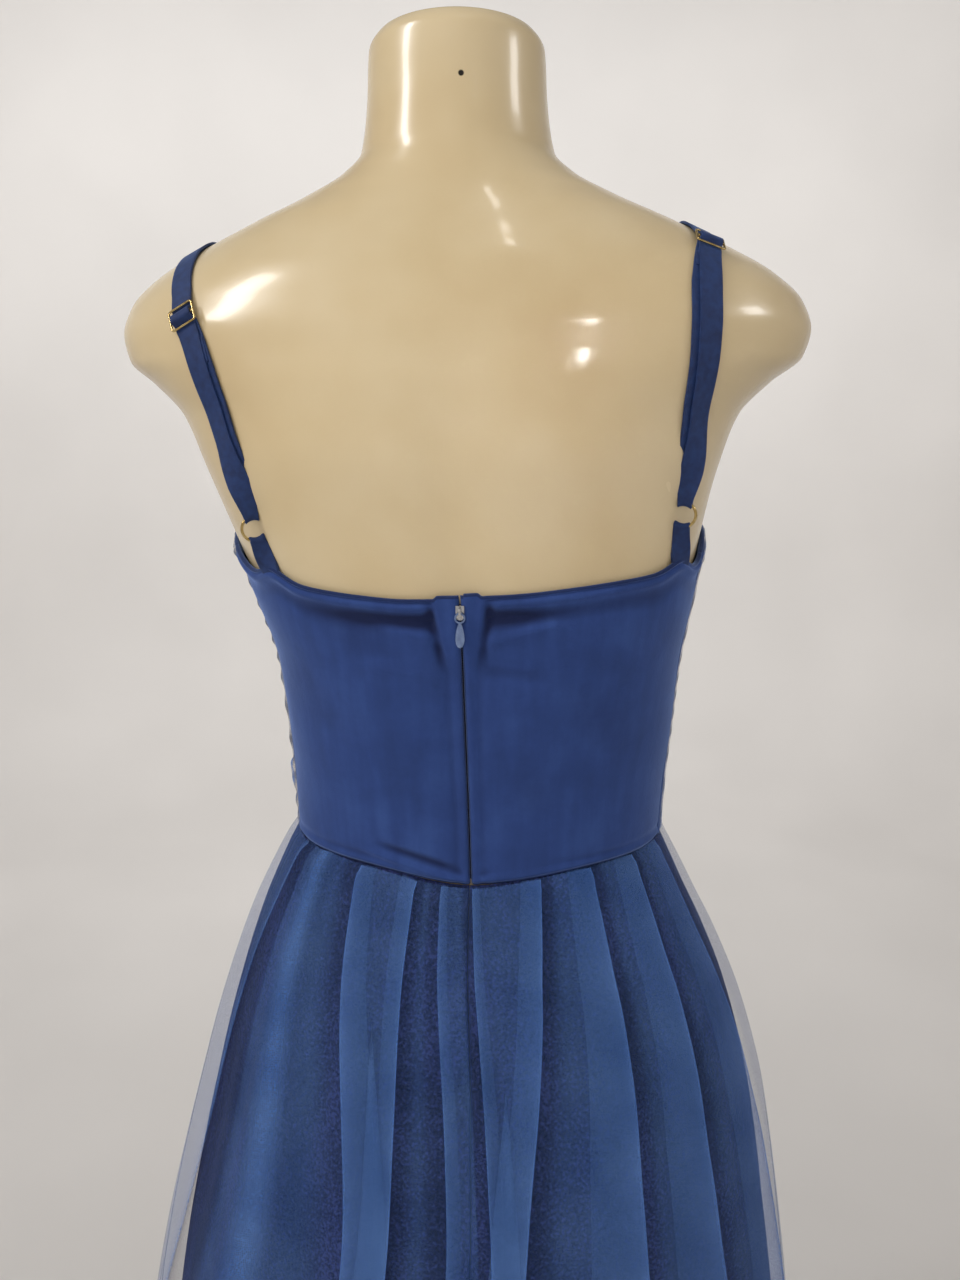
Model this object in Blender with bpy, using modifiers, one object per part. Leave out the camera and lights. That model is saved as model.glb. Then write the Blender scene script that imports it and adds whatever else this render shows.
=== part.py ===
"""A long party dress worn by a limbless dress form on a stand.

The dress has a fitted bodice closed at centre back by a concealed zip, two adjustable shoulder
straps on rings, an opaque inner skirt and a sheer outer skirt laid in soft pleats.
Z is up, the front faces -Y, and +X is the side that the wearer calls left.
The origin is the middle of the stand's underside. Tables and sizes are in millimetres.
"""

import math

import bmesh
import bpy
import numpy as np
from mathutils import Matrix, Vector
from mathutils.bvhtree import BVHTree

MM = 0.001
SEAM_GAP = 0.3

# The waist seam's height above the floor
WAIST_SEAM = 1050.0

# Cloth walls and how far they stand off the form
CLOTH_EASE = 2.2
BODICE_WALL = 2.0
SKIRT_WALL = 1.0

# Form sections. Sway is how far a section's middle lies towards +X, in the form's easy stance.
# Columns: height above the waist, half width, back depth, front depth, squareness, sway
FORM_SECTIONS = (
    (-258, 150, 92, 80, 2.3, 0),
    (-252, 156, 98, 86, 2.3, 0),
    (-240, 162, 106, 92, 2.3, 0),
    (-200, 168, 114, 98, 2.3, 0.5),
    (-150, 161, 113, 98, 2.3, 1),
    (-100, 145, 103, 95, 2.2, 1.7),
    (-50, 126, 88, 91, 2.2, 2.3),
    (0, 115, 79, 89, 2.2, 2.5),
    (40, 116, 80, 92, 2.25, 2.2),
    (80, 118.5, 85, 96, 2.3, 1.7),
    (120, 121.8, 91, 101, 2.35, 2.0),
    (160, 130.8, 96, 105, 2.4, 4.5),
    (200, 141.8, 100, 106, 2.4, 8.7),
    (240, 154.2, 102, 102, 2.4, 12.0),
    (268, 165.5, 100, 95, 2.3, 12.7),
    (286, 183, 98, 88, 2.2, 12.3),
    (300, 200, 95, 83, 2.1, 11.3),
    (315, 203.5, 92, 78, 2.1, 10.7),
    (330, 198, 87, 72, 2.1, 10.6),
    (345, 182, 81, 66, 2.1, 10.8),
    (360, 155, 73, 60, 2.1, 11.3),
    (375, 123, 65, 56, 2.1, 12),
    (388, 93.5, 59, 53, 2.0, 12.6),
    (400, 69.5, 55, 51, 2.0, 13),
    (413, 56, 52, 50, 2.0, 13.2),
    (440, 51.5, 49, 50, 2.0, 13.3),
    (466, 49.8, 47, 48, 2.0, 13.3),
    (474, 44.5, 42, 43, 2.0, 13.3),
    (478, 32, 31, 32, 2.0, 13.3),
)
FORM_SEGMENTS = 40
FORM_ROWS = 37

# Soft swellings on the form: where they are centred, how wide they are and how far they stand out
BUST_APART, BUST_HEIGHT, BUST_SPREAD, BUST_RISE = 75.0, 165.0, 46.0, 24.0
BLADE_APART, BLADE_HEIGHT, BLADE_SPREAD, BLADE_RISE = 72.0, 262.0, 42.0, 4.0
SPINE_HEIGHT, SPINE_SPREAD, SPINE_LENGTH, SPINE_DEPTH = 175.0, 18.0, 110.0, 3.0
CUP_BRIDGE = 0.5

# Bodice panels: how many points wide and high each one's grid is, and the seams between them, in degrees
BACK_PANEL_GRID, FRONT_PANEL_GRID = (14, 8), (33, 10)
SIDE_SEAM = 12.0
SEAM_TURN = 0.08
ZIP_OPENING = 1.4

# The bodice's top edge. Angles run from the body's side towards centre back (90) or centre front (-90).
# Columns: angle, height above the waist
TOP_EDGES = {
    "left": (
        (-90, 166),
        (-80, 178),
        (-70, 195),
        (-60, 213),
        (-53, 226),
        (-48, 230),
        (-41, 230),
        (-35, 226),
        (-20, 214),
        (-6, 205),
        (6, 198),
        (16, 190),
        (24, 183),
        (30, 180),
        (36, 178.5),
        (46, 175.5),
        (58, 173),
        (72, 171.3),
        (90, 171.5),
    ),
    "right": (
        (-90, 166),
        (-80, 178),
        (-70, 195),
        (-60, 213),
        (-53, 226),
        (-48, 230),
        (-41, 230),
        (-35, 226),
        (-20, 215),
        (-8, 207),
        (2, 200),
        (10, 191),
        (17, 184),
        (23, 182),
        (31, 182.5),
        (42, 180.5),
        (56, 177.5),
        (72, 174.5),
        (90, 172.5),
    ),
}
SEAM_LEVEL, SEAM_DIP, SEAM_DIP_SPREAD = 7.5, 8.5, 32.0
BACK_HEIGHT = 172.0
ZIP_FOOT_X, ZIP_LEAN = 3.6, 0.025

# Outer skirt's middle surface and, inside it, the lining's. Columns: drop below the waist, half width,
# back depth, front depth, fold depth, lining inset, lining wave, sway
SKIRT_SECTIONS = (
    (-8, 120.4, 84.6, 94.8, 0.8, 2.6, 0.0, 3.0),
    (4, 127.5, 90, 100.5, 1.6, 4.0, 0.2, 4.4),
    (40, 146, 110, 118, 2.8, 6.5, 0.7, 4.6),
    (70, 160, 127, 132, 3.6, 8.0, 1.0, 3.4),
    (114, 177, 147, 150, 4.6, 9.5, 1.5, 2.2),
    (160, 191, 163, 165, 5.4, 10.6, 1.8, 2.4),
    (207, 202.5, 177, 178, 6.2, 11.7, 2.2, 4.2),
    (292, 220, 200, 200, 7.6, 13.8, 2.6, 8.6),
    (364, 232, 214, 213, 8.6, 15.8, 3.0, 11.0),
    (500, 254, 240, 238, 10.5, 19.0, 3.6, 10.0),
    (700, 287, 276, 273, 13.2, 23.0, 4.4, 7.0),
    (900, 322, 313, 309, 16.0, 27.5, 5.0, 4.0),
    (1038, 348, 340, 336, 18.0, 30.5, 5.4, 2.0),
)
SKIRT_SQUARENESS_TOP, SKIRT_SQUARENESS_LOW, SKIRT_ROUND_FROM = 2.2, 2.0, 150.0
PANEL_SEAM_TURN = 0.12

# Outer skirt's seams, in degrees round the waist, each in the shelter of a pleat
OVERSKIRT_SIDE_LEFT, OVERSKIRT_CENTRE_BACK, OVERSKIRT_SIDE_RIGHT = 14.0, 97.0, 177.0

# Pleats of the outer skirt. A lay of 1 sets the outer layer towards a greater angle, -1 to a smaller one.
# Columns: angle round the waist, half span in degrees, lay, depth against the section's fold depth
PLEATS = (
    (5, 6.5, 1, 0.9),
    (24, 7.5, -1, 1.1),
    (43, 8.0, 1, 1.0),
    (61, 7.0, 1, 1.1),
    (75, 5.5, -1, 0.7),
    (90, 6.5, 1, 1.0),
    (104, 5.5, -1, 0.7),
    (119, 7.0, -1, 1.1),
    (134, 6.5, 1, 1.0),
    (149, 7.0, 1, 1.1),
    (168, 7.5, 1, 1.0),
    (186, 7.0, -1, 0.9),
    (202, 7.0, 1, 1.0),
    (219, 7.5, 1, 1.1),
    (236, 7.0, 1, 0.9),
    (252, 7.0, 1, 1.0),
    (270, 7.5, -1, 1.1),
    (288, 7.0, -1, 1.0),
    (304, 7.0, -1, 0.9),
    (321, 7.5, -1, 1.1),
    (337, 7.0, -1, 1.0),
    (351, 5.5, -1, 0.8),
)
PLEAT_POINTS = 6
PLEAT_LEAN = 0.72
PLEAT_SEAM_MARGIN = 0.6
SKIRT_LENGTH = 1038.0
SKIRT_ROWS = (0, 30, 75, 140, 240, 400, 700, 1038)

LINING_WAVES = 12
LINING_POINTS_PER_WAVE = 4
LINING_ROWS = (0, 40, 114, 210, 400, 700, 1024)

# Straps: points that the tape's middle lies over, from the front edge to the ring.
# Columns: x, y, height above the waist
STRAP_ROUTES = {
    "left": (
        (103, -99, 232.4),
        (107, -95, 250),
        (116, -85, 275),
        (128, -71, 300),
        (140, -54, 323),
        (150, -32, 345),
        (157, -8, 359),
        (160, 14, 362),
        (162, 34, 356),
        (161, 52, 341),
        (156, 65, 320),
        (150, 70, 303),
        (145, 72, 285),
        (138.5, 72, 265),
        (131, 73, 244),
        (125.5, 73, 225),
        (123.5, 72, 213.5),
    ),
    "right": (
        (-88.5, -99, 234.3),
        (-92, -95, 250),
        (-99, -85, 275),
        (-106, -70, 302),
        (-111, -52, 330),
        (-115, -30, 354),
        (-118, -6, 370),
        (-121, 16, 372),
        (-123, 34, 363),
        (-123, 46, 355),
        (-122, 59, 343),
        (-121, 70, 319),
        (-120, 73, 289),
        (-118, 70, 258),
        (-115, 67, 232),
        (-113.2, 65, 220.5),
    ),
}
STRAP_WIDTH, STRAP_NARROW, STRAP_WALL = 13.0, 7.6, 1.1
STRAP_LOW, STRAP_HIGH = 1.4, 2.8
SLIDER_FROM_RING = {"left": 110.0, "right": 143.0}
SLIDER_WIDTH, SLIDER_HEIGHT, SLIDER_WIRE = 17.5, 12.5, 1.3
SLIDER_STAND_OFF, SLIDER_REACH = 4.3, 7.0
RING_RADIUS, RING_WIRE = 6.3, 0.75
LOOP_RADIUS = 2.1
STRAP_COLUMNS_ACROSS = (-1.0, -0.45, 0.45, 1.0)
STRAP_STATION = 12.0
LOOP_RUN, LOOP_WIDENS, LOOP_FLATTENS = 16.0, 18.0, 14.0
SLOT_REACH, BAR_REACH, TAPE_CLEARS = 4.3, 1.1, 0.95
FOOT_RISE = 0.9
RETURN_SHIFT = {"left": -2.5, "right": -3.0}

TAB_WIDTH_TOP, TAB_WIDTH_FOOT = 7.6, 12.0
TAB_FOOT_ANGLE = {"left": 34.4, "right": 153.6}
TAB_FOOT_RISE, TAB_FOOT_TURN = 1.0, 0.04

# Zip: heights above the waist seam, and the small hardware at its top
ZIP_TAPE_LOW, ZIP_TAPE_HIGH, ZIP_TAPE_HALF_WIDTH, ZIP_TAPE_WALL = 1.5, 168.0, 9.0, 0.7
ZIP_TAPE_LIFT = 0.9
ZIP_SLIDER_HEIGHT, ZIP_SLIDER_WIDTH, ZIP_SLIDER_LENGTH, ZIP_SLIDER_THICK = 164.5, 4.6, 8.0, 1.8
ZIP_SLIDER_GAP = 0.45
BRIDGE_WIDTH, BRIDGE_WIRE, BRIDGE_REACH, BRIDGE_LENGTH, BRIDGE_ROOT = 1.2, 0.7, 2.7, 6.0, 0.6
PULL_RING_RADIUS, PULL_RING_WIRE = 2.5, 0.5
PULL_TAB_LENGTH, PULL_TAB_WIDTH, PULL_TAB_THICK, PULL_TAB_ROOT = 14.0, 4.6, 1.1, 0.4

# Stand
BASE_RADIUS, BASE_THICK, BASE_BEVEL = 170.0, 8.0, 1.5
POLE_RADIUS, POLE_COLLAR_RADIUS, POLE_COLLAR_HEIGHT = 12.5, 18.0, 30.0
POLE_FLANGE_RADIUS, POLE_FLANGE_THICK, POLE_WELD = 42.0, 5.0, 3.0


def clear_scene():
    """Removes every object that the startup scene holds."""
    for obj in list(bpy.data.objects):
        bpy.data.objects.remove(obj)


def make_collections():
    """One collection for the parts and one for cutters and guides."""
    made = {}
    for name in ("party_dress", "guides"):
        made[name] = bpy.data.collections.new(name)
        bpy.context.scene.collection.children.link(made[name])
    return made


def material(name, colour, roughness, metallic=0.0):
    """A Principled BSDF in one colour."""
    made = bpy.data.materials.new(name)
    made.use_nodes = True
    shader = made.node_tree.nodes["Principled BSDF"]
    shader.inputs["Base Color"].default_value = (*colour, 1.0)
    shader.inputs["Roughness"].default_value = roughness
    shader.inputs["Metallic"].default_value = metallic
    return made


def smooth_columns(table, at):
    """The table's other columns at values of its first one, on a smooth curve that never overshoots a row."""
    rows = np.array(table, float)
    known, values = rows[:, 0], rows[:, 1:]
    step = np.diff(known)[:, None]
    slope = np.diff(values, axis=0) / step
    tangent = np.zeros_like(values)
    tangent[0], tangent[-1] = slope[0], slope[-1]
    same_way = slope[:-1] * slope[1:] > 0
    total = np.where(same_way, slope[:-1] + slope[1:], 1.0)
    tangent[1:-1] = np.where(same_way, 2 * slope[:-1] * slope[1:] / total, 0.0)
    at = np.asarray(at, float)
    row = np.clip(np.searchsorted(known, at, side="right") - 1, 0, len(known) - 2)
    gap = (known[row + 1] - known[row])[..., None]
    t = np.clip((at - known[row])[..., None] / gap, 0.0, 1.0)
    found = (
        (1 + 2 * t) * (1 - t) ** 2 * values[row]
        + t * (1 - t) ** 2 * gap * tangent[row]
        + t * t * (3 - 2 * t) * values[row + 1]
        + t * t * (t - 1) * gap * tangent[row + 1]
    )
    return np.moveaxis(found, -1, 0)


def bell(distance, spread):
    """A smooth hump, 1 in the middle and falling off over the spread."""
    return np.exp(-((distance / spread) ** 2))


def oval(angle, half_width, back, front, squareness):
    """Points of an oval round the Z axis whose back and front have their own depths."""
    along, across = np.cos(angle), np.sin(angle)
    depth = np.where(across >= 0, back, front)
    sum_of_powers = np.abs(along / half_width) ** squareness + np.abs(across / depth) ** squareness
    radius = sum_of_powers ** (-1 / squareness)
    return radius * along, radius * across


def body_points(angle, height, cup_bridge=0.0):
    """The form's surface at an angle and height. cup_bridge fills the hollow that cloth spans in front."""
    angle, height = np.broadcast_arrays(np.asarray(angle, float), np.asarray(height, float))
    half_width, back, front, squareness, sway = smooth_columns(FORM_SECTIONS, height)
    x, y = oval(angle, half_width, back, front, squareness)
    behind = np.clip(np.sin(angle), 0, 1)
    before = np.clip(-np.sin(angle), 0, 1)
    bust = bell(x - BUST_APART, BUST_SPREAD) + bell(x + BUST_APART, BUST_SPREAD)
    bust = (bust + cup_bridge * bell(x, BUST_SPREAD)) * bell(height - BUST_HEIGHT, BUST_SPREAD) * BUST_RISE
    blades = bell(x - BLADE_APART, BLADE_SPREAD) + bell(x + BLADE_APART, BLADE_SPREAD)
    blades = blades * bell(height - BLADE_HEIGHT, BLADE_SPREAD) * BLADE_RISE
    spine = bell(x, SPINE_SPREAD) * bell(height - SPINE_HEIGHT, SPINE_LENGTH) * SPINE_DEPTH
    y = y - np.sqrt(before) * bust + np.sqrt(behind) * (blades - spine)
    return np.stack([x + sway, y, height + WAIST_SEAM], axis=-1)


def moved_out(points_at, angle, height, distance):
    """Points of a surface moved out along its normal, which comes from neighbouring points."""
    small_turn, small_rise = 0.002, 0.5
    here = points_at(angle, height)
    round_way = points_at(angle + small_turn, height) - points_at(angle - small_turn, height)
    up_way = points_at(angle, height + small_rise) - points_at(angle, height - small_rise)
    normal = np.cross(round_way, up_way)
    normal /= np.linalg.norm(normal, axis=-1, keepdims=True)
    return here + normal * np.asarray(distance, float)[..., None]


def cloth_on_body(angle, height, distance):
    """Points of cloth that lies over the form at a distance, spanning the hollow between the cups."""
    spanned = lambda a, h: body_points(a, h, CUP_BRIDGE)
    return moved_out(spanned, angle, height, np.full(np.shape(height), distance))


def mesh_object(name, points, faces, finish, collection):
    """An object whose mesh has these points, in millimetres, and faces."""
    mesh = bpy.data.meshes.new(name)
    mesh.from_pydata([tuple(p) for p in np.asarray(points) * MM], [], faces)
    mesh.update()
    mesh.materials.append(finish)
    mesh.shade_smooth()
    obj = bpy.data.objects.new(name, mesh)
    collection.objects.link(obj)
    return obj


def grid_faces(rows, columns, closed):
    """Quads between neighbouring rows and columns, facing out when columns turn left and rows go up."""
    last = columns if closed else columns - 1
    faces = []
    for low in range(0, (rows - 1) * columns, columns):
        high = low + columns
        for c in range(last):
            after = (c + 1) % columns
            faces.append((low + c, low + after, high + after, high + c))
    return faces


def shell(name, grid, wall, finish, collection, offset=1.0):
    """A wall of even thickness from an open grid of points, grown outwards by Solidify."""
    rows, columns, _ = grid.shape
    obj = mesh_object(name, grid.reshape(-1, 3), grid_faces(rows, columns, False), finish, collection)
    solidify = obj.modifiers.new("wall", "SOLIDIFY")
    solidify.thickness = wall * MM
    solidify.offset = offset
    return obj


def build_form(finish, collection):
    """The torso, lofted through its sections and closed at the neck and underneath."""
    heights = [row[0] for row in FORM_SECTIONS]
    spread = np.interp(np.linspace(0, len(heights) - 1, FORM_ROWS), np.arange(len(heights)), heights)
    angles = np.arange(FORM_SEGMENTS) * 2 * math.pi / FORM_SEGMENTS
    points = body_points(angles[None, :], spread[:, None])
    faces = grid_faces(FORM_ROWS, FORM_SEGMENTS, True)
    faces.append(tuple(reversed(range(FORM_SEGMENTS))))
    faces.append(tuple((FORM_ROWS - 1) * FORM_SEGMENTS + c for c in range(FORM_SEGMENTS)))
    return mesh_object("dress_form", points.reshape(-1, 3), faces, finish, collection)


def top_edge(angle):
    """Height of the bodice's top edge at an angle round the body, in radians."""
    angle = np.asarray(angle, float)
    from_side = np.degrees(np.arcsin(np.sin(angle)))
    left = smooth_columns(TOP_EDGES["left"], from_side)[0]
    right = smooth_columns(TOP_EDGES["right"], from_side)[0]
    return np.where(np.cos(angle) >= 0, left, right)


def seam_height(angle):
    """Height of the waist seam at an angle, in radians: level but for a dip at centre back."""
    from_back = np.degrees(np.arccos(np.clip(np.sin(angle), -1, 1)))
    return SEAM_LEVEL - SEAM_DIP * bell(from_back, SEAM_DIP_SPREAD)


def zip_angle(height):
    """Angle round the body of the zip's line, which runs straight although the form sways beside it."""
    _, back, _, _, sway = smooth_columns(FORM_SECTIONS, height)
    across = ZIP_FOOT_X + ZIP_LEAN * np.asarray(height, float) - sway
    return math.pi / 2 - across / (back + CLOTH_EASE)


def bodice_grid(first, last, columns, rows):
    """Rows of points from the waist seam up to the top edge. first and last give a side's angle by height."""
    share = np.linspace(0, 1, rows)[:, None]
    across = np.linspace(0, 1, columns)[None, :]
    guess = share * BACK_HEIGHT
    angles = first(guess) + across * (last(guess) - first(guess))
    low, high = seam_height(angles[:1]) + SEAM_GAP, top_edge(angles[-1:])
    heights = low + share * (high - low)
    return cloth_on_body(angles, heights, CLOTH_EASE)


def build_bodice(finish, collection):
    """Two back panels and one front panel, with a gap of the seam's width between their edges."""
    side = math.radians(SIDE_SEAM)
    seam_turn = math.radians(SEAM_TURN)
    zip_turn = ZIP_OPENING / 2 / (FORM_SECTIONS[9][2] + CLOTH_EASE)
    zip_left = lambda h: zip_angle(h) - zip_turn
    zip_right = lambda h: zip_angle(h) + zip_turn
    side_left = lambda h: side + seam_turn + 0 * h
    side_right = lambda h: math.pi - side - seam_turn + 0 * h
    front_right = lambda h: -math.pi - side + seam_turn + 0 * h
    front_left = lambda h: side - seam_turn + 0 * h
    panels = {
        "bodice_back_left": (side_left, zip_left, BACK_PANEL_GRID),
        "bodice_back_right": (zip_right, side_right, BACK_PANEL_GRID),
        "bodice_front": (front_right, front_left, FRONT_PANEL_GRID),
    }
    for name, (first, last, (columns, rows)) in panels.items():
        shell(name, bodice_grid(first, last, columns, rows), BODICE_WALL, finish, collection)


def skirt_points(angle, drop, inset):
    """A skirt's smooth surface, inset from the outer skirt's middle. drop runs down the cloth."""
    angle, drop = np.broadcast_arrays(angle, drop)
    below_waist = drop - seam_height(angle) * (1 - drop / SKIRT_LENGTH)
    half_width, back, front = smooth_columns(SKIRT_SECTIONS, below_waist)[:3]
    sway = smooth_columns(SKIRT_SECTIONS, below_waist)[6]
    blend = np.clip(drop / SKIRT_ROUND_FROM, 0, 1)
    squareness = SKIRT_SQUARENESS_TOP + blend * (SKIRT_SQUARENESS_LOW - SKIRT_SQUARENESS_TOP)
    x, y = oval(angle, half_width - inset, back - inset, front - inset, squareness)
    return np.stack([x + sway, y, WAIST_SEAM - SEAM_GAP - below_waist], axis=-1)


def pleat_columns():
    """Each column of the outer skirt: its angle and its swing in or out, as a share of the fold's depth.

    Within a pleat the cloth leans over by a sine of its phase and swings in and out by the same sine.
    """
    phases = (np.arange(PLEAT_POINTS) + 0.5) / PLEAT_POINTS * 2 * math.pi - math.pi
    angles, swings = [], []
    for centre, half_span, lay, depth in PLEATS:
        lean = PLEAT_LEAN * np.sin(phases)
        angles.append(np.radians(centre + half_span * (phases - lean) / math.pi))
        swings.append(-lay * depth * np.sin(phases))
    return np.concatenate(angles), np.concatenate(swings)


def skirt_panel(angles, swings, first, last, rows, edge_gap):
    """The outer skirt's columns between two seam angles, with a column put on each seam."""
    two_seams = np.array([first + edge_gap, last - edge_gap])
    everywhere = np.concatenate([angles, angles + 2 * math.pi])
    swings_twice = np.concatenate([swings, swings])
    order = np.argsort(everywhere)
    everywhere, swings_twice = everywhere[order], swings_twice[order]
    margin = math.radians(PLEAT_SEAM_MARGIN)
    inner = (everywhere > two_seams[0] + margin) & (everywhere < two_seams[1] - margin)
    at_seams = np.interp(two_seams, everywhere, swings_twice)
    angle = np.concatenate([two_seams[:1], everywhere[inner], two_seams[1:]])
    swing = np.concatenate([at_seams[:1], swings_twice[inner], at_seams[1:]])
    drop = np.array(rows, float)[::-1, None]
    depth = smooth_columns(SKIRT_SECTIONS, drop)[3]
    return skirt_points(angle[None, :], drop, -swing[None, :] * depth - SKIRT_WALL / 2)


def build_overskirt(finish, collection):
    """Front, back left and back right panels of the sheer outer skirt."""
    angles, swings = pleat_columns()
    gap = math.radians(PANEL_SEAM_TURN)
    side_left, side_right = math.radians(OVERSKIRT_SIDE_LEFT), math.radians(OVERSKIRT_SIDE_RIGHT)
    centre_back = math.radians(OVERSKIRT_CENTRE_BACK)
    spans = {
        "overskirt_back_left": (side_left, centre_back),
        "overskirt_back_right": (centre_back, side_right),
        "overskirt_front": (side_right, side_left + 2 * math.pi),
    }
    for name, (first, last) in spans.items():
        grid = skirt_panel(angles, swings, first, last, SKIRT_ROWS, gap)
        shell(name, grid, SKIRT_WALL, finish, collection, offset=0.0)


def build_lining(finish, collection):
    """Front, back left and back right panels of the inner skirt, in long shallow waves."""
    gap = math.radians(PANEL_SEAM_TURN)
    side = math.radians(SIDE_SEAM)
    spans = {
        "lining_back_left": (side, math.pi / 2),
        "lining_back_right": (math.pi / 2, math.pi - side),
        "lining_front": (math.pi - side, 2 * math.pi + side),
    }
    drop = np.array(LINING_ROWS, float)[::-1, None]
    inset, wave = smooth_columns(SKIRT_SECTIONS, drop)[4:6]
    for name, (first, last) in spans.items():
        columns = round(LINING_WAVES * LINING_POINTS_PER_WAVE * (last - first) / (2 * math.pi))
        angle = np.linspace(first + gap, last - gap, columns)[None, :]
        grid = skirt_points(angle, drop, inset - np.sin(angle * LINING_WAVES) * wave)
        shell(name, grid, SKIRT_WALL, finish, collection, offset=0.0)


def curve_through(points, count):
    """Evenly spaced points on a smooth curve through the given ones, with their distance along it."""
    points = np.array(points, float)
    chord = np.concatenate([[0], np.cumsum(np.linalg.norm(np.diff(points, axis=0), axis=1))])
    table = np.column_stack([chord, points])
    fine = np.moveaxis(smooth_columns(table, np.linspace(0, chord[-1], 400)), 0, -1)
    length = np.concatenate([[0], np.cumsum(np.linalg.norm(np.diff(fine, axis=0), axis=1))])
    at = np.linspace(0, length[-1], count)
    even = np.stack([np.interp(at, length, fine[:, k]) for k in range(3)], axis=-1)
    return even, at


class FormSkin:
    """The form's faceted surface, for laying tapes on it."""

    def __init__(self, form):
        corners = [v.co for v in form.data.vertices]
        self.tree = BVHTree.FromPolygons(corners, [tuple(p.vertices) for p in form.data.polygons])

    def nearest(self, point):
        """The nearest point of the form, in millimetres, and the way out from it."""
        where, normal, _, _ = self.tree.find_nearest(Vector(point) * MM)
        return np.array(where) / MM, np.array(normal)


class StrapTrack:
    """A strap's way over the form, by distance from its ring, with the slider's short straight run on it."""

    points_along, smoothing = 80, 4

    def __init__(self, skin, route, slider_at):
        above_floor = [(x, y, height + WAIST_SEAM) for x, y, height in route]
        even, at = curve_through(above_floor, self.points_along)
        found = [skin.nearest(p) for p in even]
        self.points = np.array([p for p, _ in found])[::-1]
        normals = self.smooth(np.array([n for _, n in found])[::-1])
        self.out = normals / np.linalg.norm(normals, axis=1, keepdims=True)
        along = np.gradient(self.points, axis=0)
        across = np.cross(self.out, along)
        self.across = across / np.linalg.norm(across, axis=1, keepdims=True)
        self.distance = at
        self.length = at[-1]
        self.slider_at = slider_at
        self.points = self.points + self.out * self.rise(skin)[:, None]

    def windows(self, values):
        """The values shifted along the track by each step of the smoothing, both ways."""
        reach = self.smoothing
        padded = np.pad(values, ((reach, reach), (0, 0)), mode="edge")
        return np.stack([padded[k : k + len(values)] for k in range(2 * reach + 1)])

    def smooth(self, values):
        return self.windows(values).mean(axis=0)

    def rise(self, skin):
        """How far the tape must rise for its edges to stay out of the form's hollows."""
        needed = np.zeros(len(self.points))
        for share in (-0.5, -0.25, 0.25, 0.5):
            for k, point in enumerate(self.points + self.across * STRAP_WIDTH * share):
                near, normal = skin.nearest(point)
                needed[k] = max(needed[k], -np.dot(point - near, normal))
        highest = self.windows(needed[:, None]).max(axis=0)
        return self.smooth(highest)[:, 0]

    def read(self, values, distance):
        return np.stack([np.interp(distance, self.distance, values[:, k]) for k in range(3)], axis=-1)

    def frame(self, distance):
        """Points on the form, the way out and the way across. The slider's run keeps its own directions."""
        distance = np.atleast_1d(np.asarray(distance, float))
        points, out, across = (self.read(v, distance) for v in (self.points, self.out, self.across))
        middle, middle_across = (self.read(v, self.slider_at) for v in (self.points, self.across))
        along = self.read(self.points, self.slider_at + 5) - self.read(self.points, self.slider_at - 5)
        along -= np.dot(along, middle_across) * middle_across
        along /= np.linalg.norm(along)
        middle_out = np.cross(along, middle_across)
        run = np.abs(distance - self.slider_at) <= SLIDER_REACH
        straight = middle + (distance - self.slider_at)[:, None] * along
        points = np.where(run[:, None], straight, points)
        out = np.where(run[:, None], middle_out, out)
        across = np.where(run[:, None], middle_across, across)
        return points, out, across


def tape(name, centres, across, widths, sag, down, finish, collection):
    """A tape four points wide along a line of centres, thickened by Solidify.

    sag bends each cross row to the ring's curve: 1 follows it fully, 0 is flat.
    """
    share = np.array(STRAP_COLUMNS_ACROSS)[:, None, None]
    side = share * np.asarray(widths, float)[None, :, None] / 2
    drop = RING_RADIUS - np.sqrt(RING_RADIUS**2 - np.minimum(np.abs(side), STRAP_NARROW / 2) ** 2)
    grid = centres[None] + side * across[None] + drop * np.asarray(sag, float)[None, :, None] * down
    return shell(name, grid, STRAP_WALL, finish, collection, offset=0.0)


def half_circle(centre, start, through, radius, steps):
    """Inner points of a half circle that starts on one side, goes through the far end and ends opposite."""
    turn = np.linspace(0, math.pi, steps + 2)[1:-1, None]
    return centre + radius * (np.cos(turn) * start + np.sin(turn) * through)


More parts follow.
